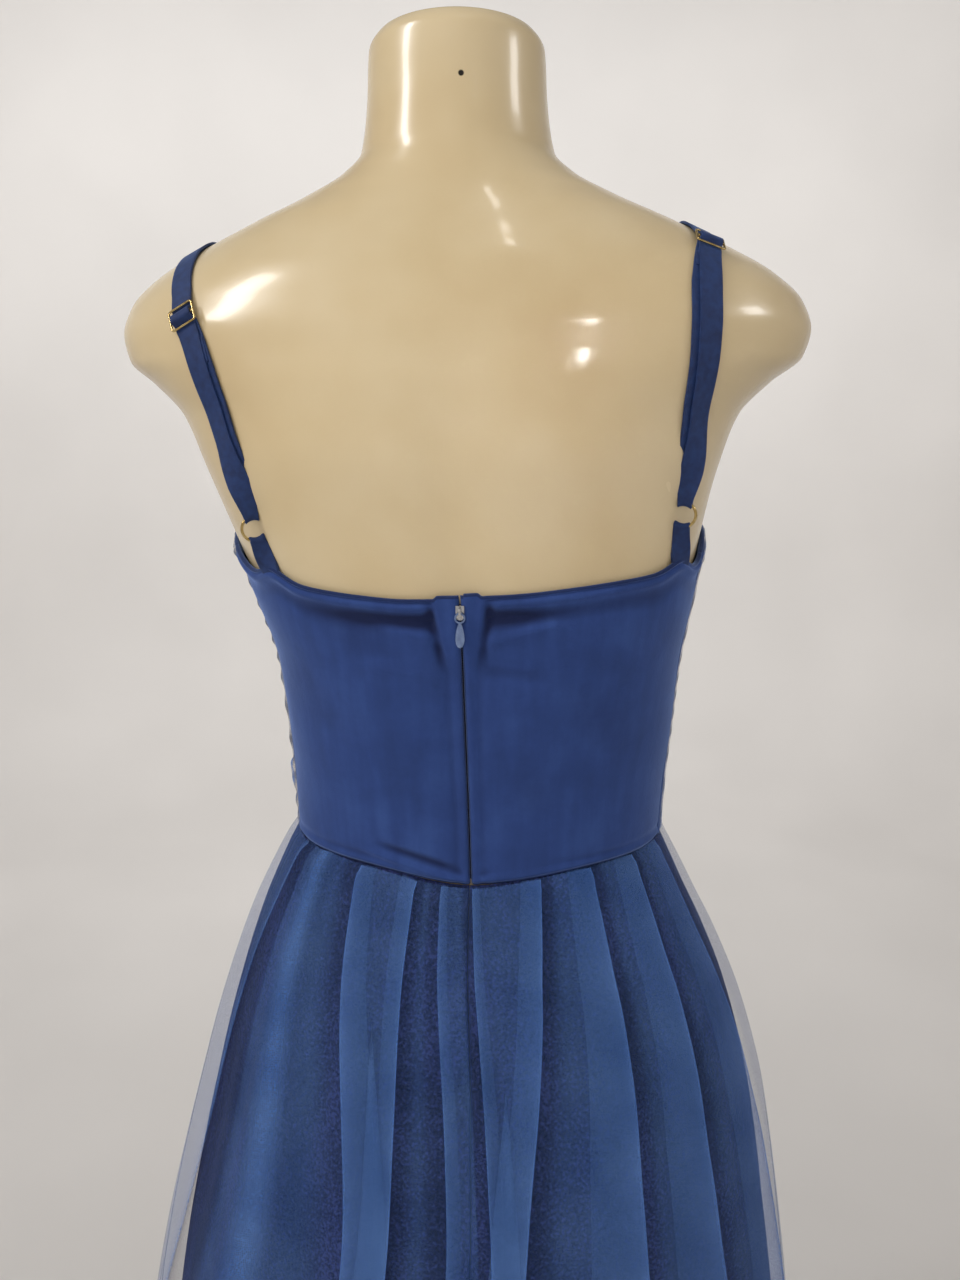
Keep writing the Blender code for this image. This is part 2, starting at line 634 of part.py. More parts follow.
def build_strap(side, skin, finish, metal, collection):
    """One strap with its slider and ring. Returns the ring's centre and directions, for the tab below it."""
    slider_at = SLIDER_FROM_RING[side]
    track = StrapTrack(skin, STRAP_ROUTES[side], slider_at)
    over_bar = SLIDER_STAND_OFF + SLIDER_WIRE / 2 + TAPE_CLEARS
    under_frame = SLIDER_STAND_OFF - SLIDER_WIRE / 2 - TAPE_CLEARS
    outer_lift = (
        (0, STRAP_LOW + 2 * LOOP_RADIUS),
        (LOOP_RUN, STRAP_HIGH),
        (slider_at - SLIDER_REACH, under_frame),
        (slider_at - SLOT_REACH, under_frame),
        (slider_at - BAR_REACH, over_bar),
        (slider_at + BAR_REACH, over_bar),
        (slider_at + SLOT_REACH, under_frame),
        (slider_at + SLIDER_REACH, under_frame),
        (slider_at + LOOP_RUN, STRAP_LOW),
        (track.length, STRAP_LOW + FOOT_RISE),
    )
    width_profile = ((0, STRAP_NARROW), (LOOP_WIDENS, STRAP_WIDTH), (track.length, STRAP_WIDTH))
    regular = np.arange(STRAP_STATION / 2, track.length - STRAP_STATION / 2, STRAP_STATION)
    regular = regular[np.abs(regular - slider_at) > SLIDER_REACH + STRAP_STATION / 2]
    stations = np.concatenate([[row[0] for row in outer_lift if row[0] != LOOP_RUN], regular])
    stations = np.sort(stations)[::-1]
    lift = smooth_columns(outer_lift, stations)[0]
    points, out, across = track.frame(stations)
    outer = points + out * lift[:, None]

    return_length = slider_at - SLIDER_REACH
    spread = np.linspace(LOOP_RUN, return_length - STRAP_STATION * 2 / 3, round(slider_at / STRAP_STATION))
    return_end = [return_length, slider_at - SLIDER_REACH / 2, slider_at - 0.4]
    inner_stations = np.concatenate([[0.0, STRAP_STATION / 2], spread, return_end])
    inner_lift = ((0, STRAP_LOW), (return_length, STRAP_LOW), (slider_at, under_frame - 0.1))
    inner_points, inner_out, inner_across = track.frame(inner_stations)
    inner = inner_points + inner_out * smooth_columns(inner_lift, inner_stations)[0][:, None]
    fade = np.clip(inner_stations / 40, 0, 1) * np.clip((slider_at - inner_stations) / 30, 0, 1)
    inner = inner + inner_across * (RETURN_SHIFT[side] * fade)[:, None]

    end, end_out, end_across = (v[0] for v in track.frame(0.0))
    down = end - track.frame(4.0)[0][0]
    down -= np.dot(down, end_across) * end_across
    down /= np.linalg.norm(down)
    end_out = np.cross(end_across, down)
    end_out *= np.sign(np.dot(end_out, out[-1]))
    wire = end + end_out * (STRAP_LOW + LOOP_RADIUS)
    turn = half_circle(wire, end_out, down, LOOP_RADIUS, 3)
    outer[-1], inner[0] = wire + end_out * LOOP_RADIUS, wire - end_out * LOOP_RADIUS

    centres = np.concatenate([outer, turn, inner])
    sides = np.concatenate([across, np.repeat(end_across[None], len(turn), axis=0), inner_across])
    distances = np.concatenate([stations, np.zeros(len(turn)), inner_stations])
    widths = smooth_columns(width_profile, distances)[0]
    sag = np.clip(1 - distances / LOOP_FLATTENS, 0, 1)
    tape(f"strap_{side}", centres, sides, widths, sag, down, finish, collection)

    middle, slider_out, slider_across = (v[0] for v in track.frame(slider_at))
    slider_centre = middle + slider_out * SLIDER_STAND_OFF
    build_strap_slider(side, slider_centre, slider_across, slider_out, metal, collection)
    ring_centre = wire + down * RING_RADIUS
    build_ring(side, ring_centre, end_across, end_out, metal, collection)
    return ring_centre, end_across, end_out, down


def frame_matrix(origin, across, out):
    """A matrix whose X runs across, whose Z runs out, and whose place is the origin, in metres."""
    x = Vector(across).normalized()
    z = (Vector(out) - Vector(out).dot(x) * x).normalized()
    y = z.cross(x)
    turned = Matrix((x, y, z)).transposed().to_4x4()
    return Matrix.Translation(Vector(origin) * MM) @ turned


def rectangle_spline(curve, centre_y, width, height, corner):
    """A rounded rectangle in a flat curve, its corners drawn as short arcs."""
    spline = curve.splines.new("POLY")
    half_w, half_h = width / 2 - corner, height / 2 - corner
    corners = ((half_w, half_h, 0), (-half_w, half_h, 90), (-half_w, -half_h, 180), (half_w, -half_h, 270))
    outline = []
    for x, y, start in corners:
        for turn in (0, 45, 90):
            angle = math.radians(start + turn)
            outline.append((x + corner * math.cos(angle), centre_y + y + corner * math.sin(angle)))
    spline.points.add(len(outline) - 1)
    for point, (x, y) in zip(spline.points, outline):
        point.co = (x * MM, y * MM, 0, 1)
    spline.use_cyclic_u = True


def build_strap_slider(side, centre, across, out, finish, collection):
    """The adjuster: a flat frame with a bar across its middle, leaving two slots for the tape."""
    name = f"strap_slider_{side}"
    curve = bpy.data.curves.new(name, "CURVE")
    curve.dimensions = "2D"
    curve.fill_mode = "BOTH"
    curve.extrude = SLIDER_WIRE / 2 * MM
    rectangle_spline(curve, 0, SLIDER_WIDTH, SLIDER_HEIGHT, 2.0)
    slot_height = (SLIDER_HEIGHT - 3 * SLIDER_WIRE) / 2
    slot_centre = (slot_height + SLIDER_WIRE) / 2
    for where in (-slot_centre, slot_centre):
        rectangle_spline(curve, where, SLIDER_WIDTH - 2 * SLIDER_WIRE, slot_height, 0.6)
    curve.materials.append(finish)
    obj = bpy.data.objects.new(name, curve)
    collection.objects.link(obj)
    obj.matrix_world = frame_matrix(centre, across, out)


def build_ring(side, centre, across, out, finish, collection):
    """A round wire ring that joins the strap's loop to the tab's loop."""
    bpy.ops.mesh.primitive_torus_add(
        major_segments=20, minor_segments=6, major_radius=RING_RADIUS * MM, minor_radius=RING_WIRE * MM
    )
    ring = bpy.context.object
    ring.name = f"strap_ring_{side}"
    ring.data.materials.append(finish)
    ring.data.shade_smooth()
    ring.matrix_world = frame_matrix(centre, across, out)
    for owner in list(ring.users_collection):
        owner.objects.unlink(ring)
    collection.objects.link(ring)


def build_tab(side, ring, finish, collection):
    """A folded loop of cloth from the back's top edge up round the ring and down again."""
    ring_centre, across, out, down = ring
    wire = ring_centre + down * RING_RADIUS
    foot_angles = math.radians(TAB_FOOT_ANGLE[side]) + np.array([0.0, -TAB_FOOT_TURN, TAB_FOOT_TURN])
    foot_heights = top_edge(foot_angles) + TAB_FOOT_RISE
    wall_middle = CLOTH_EASE + BODICE_WALL / 2
    foot, before, after = cloth_on_body(foot_angles, foot_heights, wall_middle)
    foot_out = foot - cloth_on_body(foot_angles, foot_heights, wall_middle - 1)[0]
    foot_across = (after - before) * np.sign(np.dot(after - before, across))
    foot_across /= np.linalg.norm(foot_across)
    half_pair = STRAP_WALL / 2 + SEAM_GAP / 2
    share = np.linspace(0, 0.85, 4)

    def leg(sign):
        low, high = foot + sign * half_pair * foot_out, wire + sign * LOOP_RADIUS * out
        return low + share[:, None] * (high - low)

    turn = half_circle(wire, out, -down, LOOP_RADIUS, 3)
    ends = wire + LOOP_RADIUS * out, wire - LOOP_RADIUS * out
    centres = np.concatenate([leg(1), [ends[0]], turn, [ends[1]], leg(-1)[::-1]])
    up_share = np.concatenate([share, np.ones(len(turn) + 2), share[::-1]])
    widths = TAB_WIDTH_FOOT + up_share * (TAB_WIDTH_TOP - TAB_WIDTH_FOOT)
    sides = foot_across + up_share[:, None] * (across - foot_across)
    sides /= np.linalg.norm(sides, axis=1, keepdims=True)
    tape(f"ring_tab_{side}", centres, sides, widths, up_share**3, -down, finish, collection)


def build_zip(tape_finish, metal, collection, guides):
    """The concealed zip: its tape behind the opening, the slider at the top, and the pull on it."""
    rows, columns = 9, 4
    heights = np.broadcast_to(np.linspace(ZIP_TAPE_LOW, ZIP_TAPE_HIGH, rows)[:, None], (rows, columns))
    reach = ZIP_TAPE_HALF_WIDTH / FORM_SECTIONS[9][2]
    grid = cloth_on_body(zip_angle(heights) + np.linspace(-reach, reach, columns), heights, ZIP_TAPE_LIFT)
    shell("zip_tape", grid, ZIP_TAPE_WALL, tape_finish, collection)

    outside = CLOTH_EASE + BODICE_WALL
    ends = ZIP_SLIDER_HEIGHT + np.array([-ZIP_SLIDER_LENGTH / 2, ZIP_SLIDER_LENGTH / 2])
    low, high = cloth_on_body(zip_angle(ends), ends, outside)
    up = (high - low) / np.linalg.norm(high - low)
    across = np.array([-1.0, 0.0, 0.0])
    out = np.cross(across, up)
    out *= np.sign(out[1])
    lie = (low + high) / 2 + out * (ZIP_SLIDER_GAP + ZIP_SLIDER_THICK / 2)
    build_zip_slider(lie, across, out, metal, collection, guides)
    bridge_room = BRIDGE_REACH - BRIDGE_WIRE - PULL_RING_WIRE - ZIP_SLIDER_GAP
    hinge = lie + out * (ZIP_SLIDER_THICK / 2 + bridge_room)
    build_pull(hinge, metal, collection, guides)


def box_object(name, size, finish, collection):
    """A box of this size in millimetres, centred on its own origin."""
    bpy.ops.mesh.primitive_cube_add(size=1)
    obj = bpy.context.object
    obj.name = name
    obj.data.transform(Matrix.Diagonal((*[s * MM for s in size], 1)))
    obj.data.materials.append(finish)
    for owner in list(obj.users_collection):
        owner.objects.unlink(obj)
    collection.objects.link(obj)
    return obj


def build_zip_slider(lie, across, out, finish, collection, guides):
    """The slider's body with an arched bridge over it, in one casting."""
    body_size = (ZIP_SLIDER_WIDTH, ZIP_SLIDER_LENGTH, ZIP_SLIDER_THICK)
    arch_size = (BRIDGE_WIDTH, BRIDGE_LENGTH, BRIDGE_REACH + BRIDGE_ROOT)
    hollow_size = (BRIDGE_WIDTH * 3, BRIDGE_LENGTH - 2 * BRIDGE_WIRE, BRIDGE_REACH - BRIDGE_WIRE)
    body = box_object("zip_slider", body_size, finish, collection)
    arch = box_object("bridge", arch_size, finish, guides)
    arch_rise = (ZIP_SLIDER_THICK + BRIDGE_REACH - BRIDGE_ROOT) / 2
    arch.data.transform(Matrix.Translation((0, 0, arch_rise * MM)))
    hollow = box_object("bridge_hollow", hollow_size, finish, guides)
    hollow_rise = (ZIP_SLIDER_THICK + BRIDGE_REACH - BRIDGE_WIRE) / 2
    hollow.data.transform(Matrix.Translation((0, 0, hollow_rise * MM)))
    for operation, other in (("UNION", arch), ("DIFFERENCE", hollow)):
        modifier = body.modifiers.new(operation.lower(), "BOOLEAN")
        modifier.operation = operation
        modifier.object = other
        other.hide_render = True
        other.display_type = "WIRE"
        other.parent = body
    body.matrix_world = frame_matrix(lie, across, out)


def build_pull(hinge, finish, collection, guides):
    """The pull: an eye that hangs in the bridge and a flat drop below it, with its origin on the hinge."""
    eye = {"major_radius": PULL_RING_RADIUS * MM, "minor_radius": PULL_RING_WIRE * MM}
    bpy.ops.mesh.primitive_torus_add(major_segments=16, minor_segments=6, **eye)
    pull = bpy.context.object
    pull.name = "zip_pull"
    pull.data.transform(Matrix.Rotation(math.pi / 2, 4, "X"))
    pull.data.transform(Matrix.Translation((0, 0, -PULL_RING_RADIUS * MM)))
    pull.data.materials.append(finish)
    outline = bpy.data.curves.new("drop", "CURVE")
    outline.dimensions = "2D"
    outline.fill_mode = "BOTH"
    outline.extrude = PULL_TAB_THICK / 2 * MM
    spline = outline.splines.new("POLY")
    steps = 16
    spline.points.add(steps - 1)
    for k, point in enumerate(spline.points):
        turn = 2 * math.pi * k / steps
        fullness = 0.5 - 0.18 * math.cos(turn)
        point.co = (
            PULL_TAB_WIDTH * fullness * math.sin(turn) * MM,
            PULL_TAB_LENGTH / 2 * math.cos(turn) * MM,
            0,
            1,
        )
    spline.use_cyclic_u = True
    holder = bpy.data.objects.new("drop", outline)
    bpy.context.scene.collection.objects.link(holder)
    bpy.context.view_layer.update()
    evaluated = holder.evaluated_get(bpy.context.evaluated_depsgraph_get())
    drop_mesh = bpy.data.meshes.new_from_object(evaluated)
    bpy.data.objects.remove(holder)
    welded = bmesh.new()
    welded.from_mesh(drop_mesh)
    bmesh.ops.remove_doubles(welded, verts=welded.verts, dist=1e-6)
    bmesh.ops.recalc_face_normals(welded, faces=welded.faces)
    welded.to_mesh(drop_mesh)
    welded.free()
    reach = 2 * PULL_RING_RADIUS + PULL_TAB_LENGTH / 2 - PULL_TAB_ROOT
    drop_mesh.transform(Matrix.Translation((0, 0, -reach * MM)) @ Matrix.Rotation(math.pi / 2, 4, "X"))
    drop = bpy.data.objects.new("pull_drop", drop_mesh)
    guides.objects.link(drop)
    drop.hide_render = True
    drop.display_type = "WIRE"
    drop.parent = pull
    union = pull.modifiers.new("drop", "BOOLEAN")
    union.operation = "UNION"
    union.object = drop
    pull.location = Vector(hinge) * MM
    for owner in list(pull.users_collection):
        owner.objects.unlink(pull)
    collection.objects.link(pull)


def turned(name, profile, steps, finish, collection):
    """A solid turned about Z from a profile that runs down its outer side."""
    mesh = bpy.data.meshes.new(name)
    edges = [(k, k + 1) for k in range(len(profile) - 1)]
    mesh.from_pydata([(r * MM, 0, z * MM) for r, z in profile], edges, [])
    mesh.materials.append(finish)
    obj = bpy.data.objects.new(name, mesh)
    collection.objects.link(obj)
    screw = obj.modifiers.new("turn", "SCREW")
    screw.axis = "Z"
    screw.steps = screw.render_steps = steps
    screw.use_merge_vertices = True
    screw.merge_threshold = 0.00001
    return obj


def build_stand(finish, collection):
    """A round base plate and a pole with a flange at its foot and a collar under the form."""
    base = (
        (0, BASE_THICK),
        (BASE_RADIUS - BASE_BEVEL, BASE_THICK),
        (BASE_RADIUS, BASE_THICK - BASE_BEVEL),
        (BASE_RADIUS, 0),
        (0, 0),
    )
    turned("stand_base", base, 48, finish, collection)
    foot = BASE_THICK + SEAM_GAP
    top = WAIST_SEAM + FORM_SECTIONS[0][0] - SEAM_GAP
    collar_foot = top - POLE_COLLAR_HEIGHT
    flange_top = foot + POLE_FLANGE_THICK
    pole = (
        (0, top),
        (POLE_COLLAR_RADIUS, top),
        (POLE_COLLAR_RADIUS, collar_foot),
        (POLE_RADIUS, collar_foot - POLE_WELD),
        (POLE_RADIUS, flange_top + POLE_WELD),
        (POLE_RADIUS + POLE_WELD, flange_top),
        (POLE_FLANGE_RADIUS, flange_top),
        (POLE_FLANGE_RADIUS, foot),
        (0, foot),
    )
    turned("stand_pole", pole, 24, finish, collection)


def main():
    clear_scene()
    collections = make_collections()
    parts, guides = collections["party_dress"], collections["guides"]
    crepe = material("blue_crepe", (0.035, 0.075, 0.215), 0.75)
    tulle = material("blue_tulle", (0.06, 0.13, 0.33), 0.8)
    lining = material("navy_lining", (0.02, 0.04, 0.12), 0.7)
    tape_finish = material("zip_tape_blue", (0.012, 0.025, 0.08), 0.8)
    wire = material("pale_gold_wire", (0.75, 0.68, 0.5), 0.25, 1.0)
    nickel = material("nickel", (0.7, 0.7, 0.72), 0.3, 1.0)
    plastic = material("cream_plastic", (0.72, 0.58, 0.37), 0.18)
    steel = material("base_steel", (0.6, 0.6, 0.6), 0.3, 1.0)

    form = build_form(plastic, parts)
    skin = FormSkin(form)
    build_stand(steel, parts)
    build_bodice(crepe, parts)
    build_lining(lining, parts)
    build_overskirt(tulle, parts)
    for side in STRAP_ROUTES:
        ring = build_strap(side, skin, crepe, wire, parts)
        build_tab(side, ring, crepe, parts)
    build_zip(tape_finish, nickel, parts, guides)


main()
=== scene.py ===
import math

import bpy
import numpy as np
from mathutils import Matrix, Vector
from mathutils.bvhtree import BVHTree


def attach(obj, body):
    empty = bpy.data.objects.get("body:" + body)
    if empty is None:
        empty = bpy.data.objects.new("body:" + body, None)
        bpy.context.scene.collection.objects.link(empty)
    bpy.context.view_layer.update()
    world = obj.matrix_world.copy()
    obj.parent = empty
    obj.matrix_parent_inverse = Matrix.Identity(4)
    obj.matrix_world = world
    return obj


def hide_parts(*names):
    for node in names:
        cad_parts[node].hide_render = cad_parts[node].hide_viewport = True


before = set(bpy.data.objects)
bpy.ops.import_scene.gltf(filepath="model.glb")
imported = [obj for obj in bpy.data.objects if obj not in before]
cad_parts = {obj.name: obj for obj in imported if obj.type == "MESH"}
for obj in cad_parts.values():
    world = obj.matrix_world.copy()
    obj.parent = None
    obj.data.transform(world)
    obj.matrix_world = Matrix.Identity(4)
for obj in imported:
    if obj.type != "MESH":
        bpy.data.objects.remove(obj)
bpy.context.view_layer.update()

# A long blue party dress, seen from behind on a limbless dress form. Sizes are in millimetres,
# Z is up from the floor, the front of the dress faces -Y and +X is the wearer's left.
bpy.context.scene.view_settings.view_transform = "Standard"
MM = 0.001
WAIST = 1050.0


# Dress form: the hollow torso that shops display clothes on, moulded in cream plastic and polished.
# It stands in an easy pose, so each level's middle sways a little to one side, and its neck, shoulder
# ends and underside are rounded off. A display pin has left a small hole in the nape, drawn as a spot
# of painted shade on the surface.
# Columns: height above the waist, half width, back depth, front depth, squareness, sway
FORM_SECTIONS = (
    (-258, 150, 92, 80, 2.3, 0),
    (-252, 156, 98, 86, 2.3, 0),
    (-240, 162, 106, 92, 2.3, 0),
    (-200, 168, 114, 98, 2.3, 0.5),
    (-150, 161, 113, 98, 2.3, 1),
    (-100, 145, 103, 95, 2.2, 1.7),
    (-50, 126, 88, 91, 2.2, 2.3),
    (0, 115, 79, 89, 2.2, 2.5),
    (40, 116, 80, 92, 2.25, 2.2),
    (80, 118.5, 85, 96, 2.3, 1.7),
    (120, 121.8, 91, 101, 2.35, 2.0),
    (160, 130.8, 96, 105, 2.4, 4.5),
    (200, 141.8, 100, 106, 2.4, 8.7),
    (240, 154.2, 102, 102, 2.4, 12.0),
    (268, 165.5, 100, 95, 2.3, 12.7),
    (286, 183, 98, 88, 2.2, 12.3),
    (300, 200, 95, 83, 2.1, 11.3),
    (315, 203.5, 92, 78, 2.1, 10.7),
    (330, 198, 87, 72, 2.1, 10.6),
    (345, 182, 81, 66, 2.1, 10.8),
    (360, 155, 73, 60, 2.1, 11.3),
    (375, 123, 65, 56, 2.1, 12),
    (388, 93.5, 59, 53, 2.0, 12.6),
    (400, 69.5, 55, 51, 2.0, 13),
    (413, 56, 52, 50, 2.0, 13.2),
    (440, 51.5, 49, 50, 2.0, 13.3),
    (466, 49.8, 47, 48, 2.0, 13.3),
    (474, 44.5, 42, 43, 2.0, 13.3),
    (478, 32, 31, 32, 2.0, 13.3),
)
BUST_APART, BUST_HEIGHT, BUST_SPREAD, BUST_RISE = 75.0, 165.0, 46.0, 24.0
BLADE_APART, BLADE_HEIGHT, BLADE_SPREAD, BLADE_RISE = 72.0, 262.0, 42.0, 3.0
SPINE_HEIGHT, SPINE_SPREAD, SPINE_LENGTH, SPINE_DEPTH = 175.0, 18.0, 110.0, 3.0
PIN_HOLE = (8.0, 48.7, 1490.6)
PIN_RADIUS = 1.5


def smooth_columns(table, at):
    """A table's other columns at values of its first one: cubics whose slopes are the harmonic means of
    the slopes on both sides, and level at a peak, so that no value lies beyond its neighbours."""
    rows = np.array(table, float)
    known, values = rows[:, 0], rows[:, 1:]
    slope = np.diff(values, axis=0) / np.diff(known)[:, None]
    tangent = np.zeros_like(values)
    tangent[0], tangent[-1] = slope[0], slope[-1]
    same_way = slope[:-1] * slope[1:] > 0
    total = np.where(same_way, slope[:-1] + slope[1:], 1.0)
    tangent[1:-1] = np.where(same_way, 2 * slope[:-1] * slope[1:] / total, 0.0)
    at = np.asarray(at, float)
    row = np.clip(np.searchsorted(known, at, side="right") - 1, 0, len(known) - 2)
    gap = (known[row + 1] - known[row])[..., None]
    t = np.clip((at - known[row])[..., None] / gap, 0.0, 1.0)
    found = (
        (1 + 2 * t) * (1 - t) ** 2 * values[row]
        + t * (1 - t) ** 2 * gap * tangent[row]
        + t * t * (3 - 2 * t) * values[row + 1]
        + t * t * (t - 1) * gap * tangent[row + 1]
    )
    return np.moveaxis(found, -1, 0)


def bell(distance, spread):
    """1 in the middle and falling off as the exponential of minus the squared share of the spread."""
    return np.exp(-((distance / spread) ** 2))


def step(value, low, high):
    """0 below low, 1 above high, and a smooth cubic between them."""
    t = np.clip((value - low) / (high - low), 0, 1)
    return t * t * (3 - 2 * t)


def oval(angle, half_width, back, front, squareness):
    """A superellipse by angle, whose back and front halves have their own depths."""
    along, across = np.cos(angle), np.sin(angle)
    depth = np.where(across >= 0, back, front)
    powers = np.abs(along / half_width) ** squareness + np.abs(across / depth) ** squareness
    radius = powers ** (-1 / squareness)
    return radius * along, radius * across


def body_points(angle, height, cup_bridge=0.0):
    """The torso by angle and height above the waist: the section's oval, plus two bells for the bust and
    two for the shoulder blades, less one for the spine. cup_bridge fills the hollow that cloth spans."""
    angle, height = np.broadcast_arrays(np.asarray(angle, float), np.asarray(height, float))
    half_width, back, front, squareness, sway = smooth_columns(FORM_SECTIONS, height)
    x, y = oval(angle, half_width, back, front, squareness)
    behind, before = np.clip(np.sin(angle), 0, 1), np.clip(-np.sin(angle), 0, 1)
    bust = bell(x - BUST_APART, BUST_SPREAD) + bell(x + BUST_APART, BUST_SPREAD)
    bust = (bust + cup_bridge * bell(x, BUST_SPREAD)) * bell(height - BUST_HEIGHT, BUST_SPREAD) * BUST_RISE
    blades = bell(x - BLADE_APART, BLADE_SPREAD) + bell(x + BLADE_APART, BLADE_SPREAD)
    blades = blades * bell(height - BLADE_HEIGHT, BLADE_SPREAD) * BLADE_RISE
    spine = bell(x, SPINE_SPREAD) * bell(height - SPINE_HEIGHT, SPINE_LENGTH) * SPINE_DEPTH
    y = y - np.sqrt(before) * bust + np.sqrt(behind) * (blades - spine)
    return np.stack([x + sway, y, height + WAIST], axis=-1)


def grid_quads(rows, columns, closed, tube=False):
    """Quads between neighbouring rows and columns, whose outer side shows when columns turn left. A
    closed grid joins its last column to its first one, and a tube its last row to its first one."""
    low, across = np.meshgrid(np.arange(rows - 1 + tube), np.arange(columns - 1 + closed), indexing="ij")
    after, above = (across + 1) % columns, (low + 1) % rows
    low, above = low * columns, above * columns
    return np.stack([low + across, low + after, above + after, above + across], axis=-1).reshape(-1, 4)


def surface(name, grid, finish, closed=False, caps=(), tube=False):
    """A smooth mesh from a grid of points. Its UV map holds each point's distance in metres along its
    row and up its column, so that a weave keeps its real scale on the cloth."""
    rows, columns, _ = grid.shape
    quads = grid_quads(rows, columns, closed, tube)
    mesh = bpy.data.meshes.new(name)
    mesh.from_pydata((grid.reshape(-1, 3) * MM).tolist(), [], quads.tolist() + [list(cap) for cap in caps])
    along = np.zeros((rows, columns))
    along[:, 1:] = np.cumsum(np.linalg.norm(np.diff(grid, axis=1), axis=2), axis=1)
    upwards = np.zeros((rows, columns))
    upwards[1:] = np.cumsum(np.linalg.norm(np.diff(grid, axis=0), axis=2), axis=0)
    flat = np.stack([along - along[:, -1:] / 2, upwards], axis=-1).reshape(-1, 2) * MM
    corners = np.zeros(len(mesh.loops), dtype=np.int32)
    mesh.loops.foreach_get("vertex_index", corners)
    mesh.uv_layers.new(name="cloth").data.foreach_set("uv", flat[corners].astype(np.float32).ravel())
    mesh.materials.append(finish)
    mesh.shade_smooth()
    made = bpy.data.objects.new(name, mesh)
    bpy.context.scene.collection.objects.link(made)
    return made


def mark(piece, name, values):
    """Stores one number for each grid point, which a material reads as an attribute."""
    attribute = piece.data.attributes.new(name, "FLOAT", "POINT")
    attribute.data.foreach_set("value", np.ascontiguousarray(values, dtype=np.float32).ravel())


def colour(hex_code):
    """A colour socket's value from an sRGB hex code, turned to linear light."""
    shares = np.array([int(hex_code[k : k + 2], 16) for k in (0, 2, 4)]) / 255
    linear = np.where(shares <= 0.04045, shares / 12.92, ((shares + 0.055) / 1.055) ** 2.4)
    return (*linear.tolist(), 1.0)


def set_up(node, links, settings):
    """Sets a node's properties or sockets by name, a colour by its hex code, and makes its links, each
    of which names a socket, the node that feeds it and that node's output."""
    for key, value in settings.items():
        if key in node.bl_rna.properties:
            setattr(node, key, value)
            continue
        socket = node.inputs[key.replace("_", " ")]
        socket.default_value = colour(value) if isinstance(value, str) else value
    for socket, source, output in links:
        node.id_data.links.new(source.outputs[output], node.inputs[socket])


def add_node(material, kind, *links, stops=(), **settings):
    """Adds a node with its settings and links. A colour ramp's stops are positions and hex codes."""
    node = material.node_tree.nodes.new(f"ShaderNode{kind}")
    set_up(node, links, settings)
    for _ in stops[2:]:
        node.color_ramp.elements.new(0.5)
    for order, (position, code) in enumerate(stops):
        node.color_ramp.elements[order].position = position
        node.color_ramp.elements[order].color = colour(code)
    return node


def new_material(name, **settings):
    """A material named for what it is, with the values that are the same all over set on its shader,
    the shader, and a node that gives the object's own coordinates."""
    made = bpy.data.materials.new(name)
    made.use_nodes = True
    shader = made.node_tree.nodes["Principled BSDF"]
    set_up(shader, (), settings)
    return made, shader, add_node(made, "TexCoord")


# Injection-moulded ABS, buffed to a gloss: an even cream with faint warm and grey clouds from handling,
# and a surface that waves by hundredths of a millimetre, which breaks up the edges of its highlights.
form_abs, shader, place = new_material("cream_abs_polished", IOR=1.52, Coat_Weight=0.25, Coat_Roughness=0.08)
clouds = add_node(form_abs, "TexNoise", ("Vector", place, "Object"), Scale=9.0, Detail=3.0, Roughness=0.55)
cream = ((0.32, "CCB68E"), (0.5, "D3BF98"), (0.68, "D9C7A3"))
tone = add_node(form_abs, "ValToRGB", ("Fac", clouds, "Fac"), stops=cream)
# Painted shade: a near-black spot stands in for the pin hole, which the mesh doesn't have.
pin = add_node(form_abs, "VectorMath", ("Vector", place, "Object"), operation="DISTANCE")
pin.inputs[1].default_value = [v * MM for v in PIN_HOLE]
pin_rim = {"From_Min": PIN_RADIUS * 0.8 * MM, "From_Max": PIN_RADIUS * 1.2 * MM}
pin_share = add_node(form_abs, "MapRange", ("Value", pin, "Value"), **pin_rim)
pin_hole_shade = add_node(
    form_abs, "Mix", ("Factor", pin_share, "Result"), ("B", tone, "Color"), data_type="RGBA", A="140E08"
)
gloss = add_node(form_abs, "MapRange", ("Value", clouds, "Fac"), To_Min=0.2, To_Max=0.3)
waves = add_node(form_abs, "TexNoise", ("Vector", place, "Object"), Scale=42.0, Detail=2.0)
bump = add_node(form_abs, "Bump", ("Height", waves, "Fac"), Strength=0.25, Distance=0.0006)
form_links = ("Base Color", pin_hole_shade, "Result"), ("Roughness", gloss, "Result"), ("Normal", bump, "Normal")
set_up(shader, form_links, {})

FORM_TURN, FORM_LEVELS = 200, 230
section_heights = [row[0] for row in FORM_SECTIONS]
section_orders = np.arange(len(FORM_SECTIONS))
form_heights = np.interp(np.linspace(0, section_orders[-1], FORM_LEVELS), section_orders, section_heights)
form_angles = np.arange(FORM_TURN) * 2 * math.pi / FORM_TURN
form_grid = body_points(form_angles[None, :], form_heights[:, None])
form_caps = (range(FORM_TURN - 1, -1, -1), range((FORM_LEVELS - 1) * FORM_TURN, FORM_LEVELS * FORM_TURN))
torso = surface("moulded_torso", form_grid, form_abs, True, form_caps)
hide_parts("dress_form")
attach(torso, "dress_on_form")


# Stand: a steel tube that holds the torso, welded to a flange on a round plate that lies on the floor.
# Both were ground with a fine belt and clear-lacquered. The skirt hides them from every side.
steel, shader, place = new_material("ground_steel_lacquered", Metallic=1.0, Coat_Weight=0.2)
stretch = add_node(steel, "Mapping", ("Vector", place, "Object"), Scale=(1.0, 1.0, 60.0))
grit = add_node(steel, "TexNoise", ("Vector", stretch, "Vector"), Scale=25.0, Detail=4.0)
tone = add_node(steel, "ValToRGB", ("Fac", grit, "Fac"), stops=((0.3, "9EA0A2"), (0.7, "C2C4C6")))
rough = add_node(steel, "MapRange", ("Value", grit, "Fac"), To_Min=0.28, To_Max=0.45)
set_up(shader, [("Base Color", tone, "Color"), ("Roughness", rough, "Result")], {})
for node in ("stand_base", "stand_pole"):
    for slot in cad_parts[node].material_slots:
        slot.material = steel


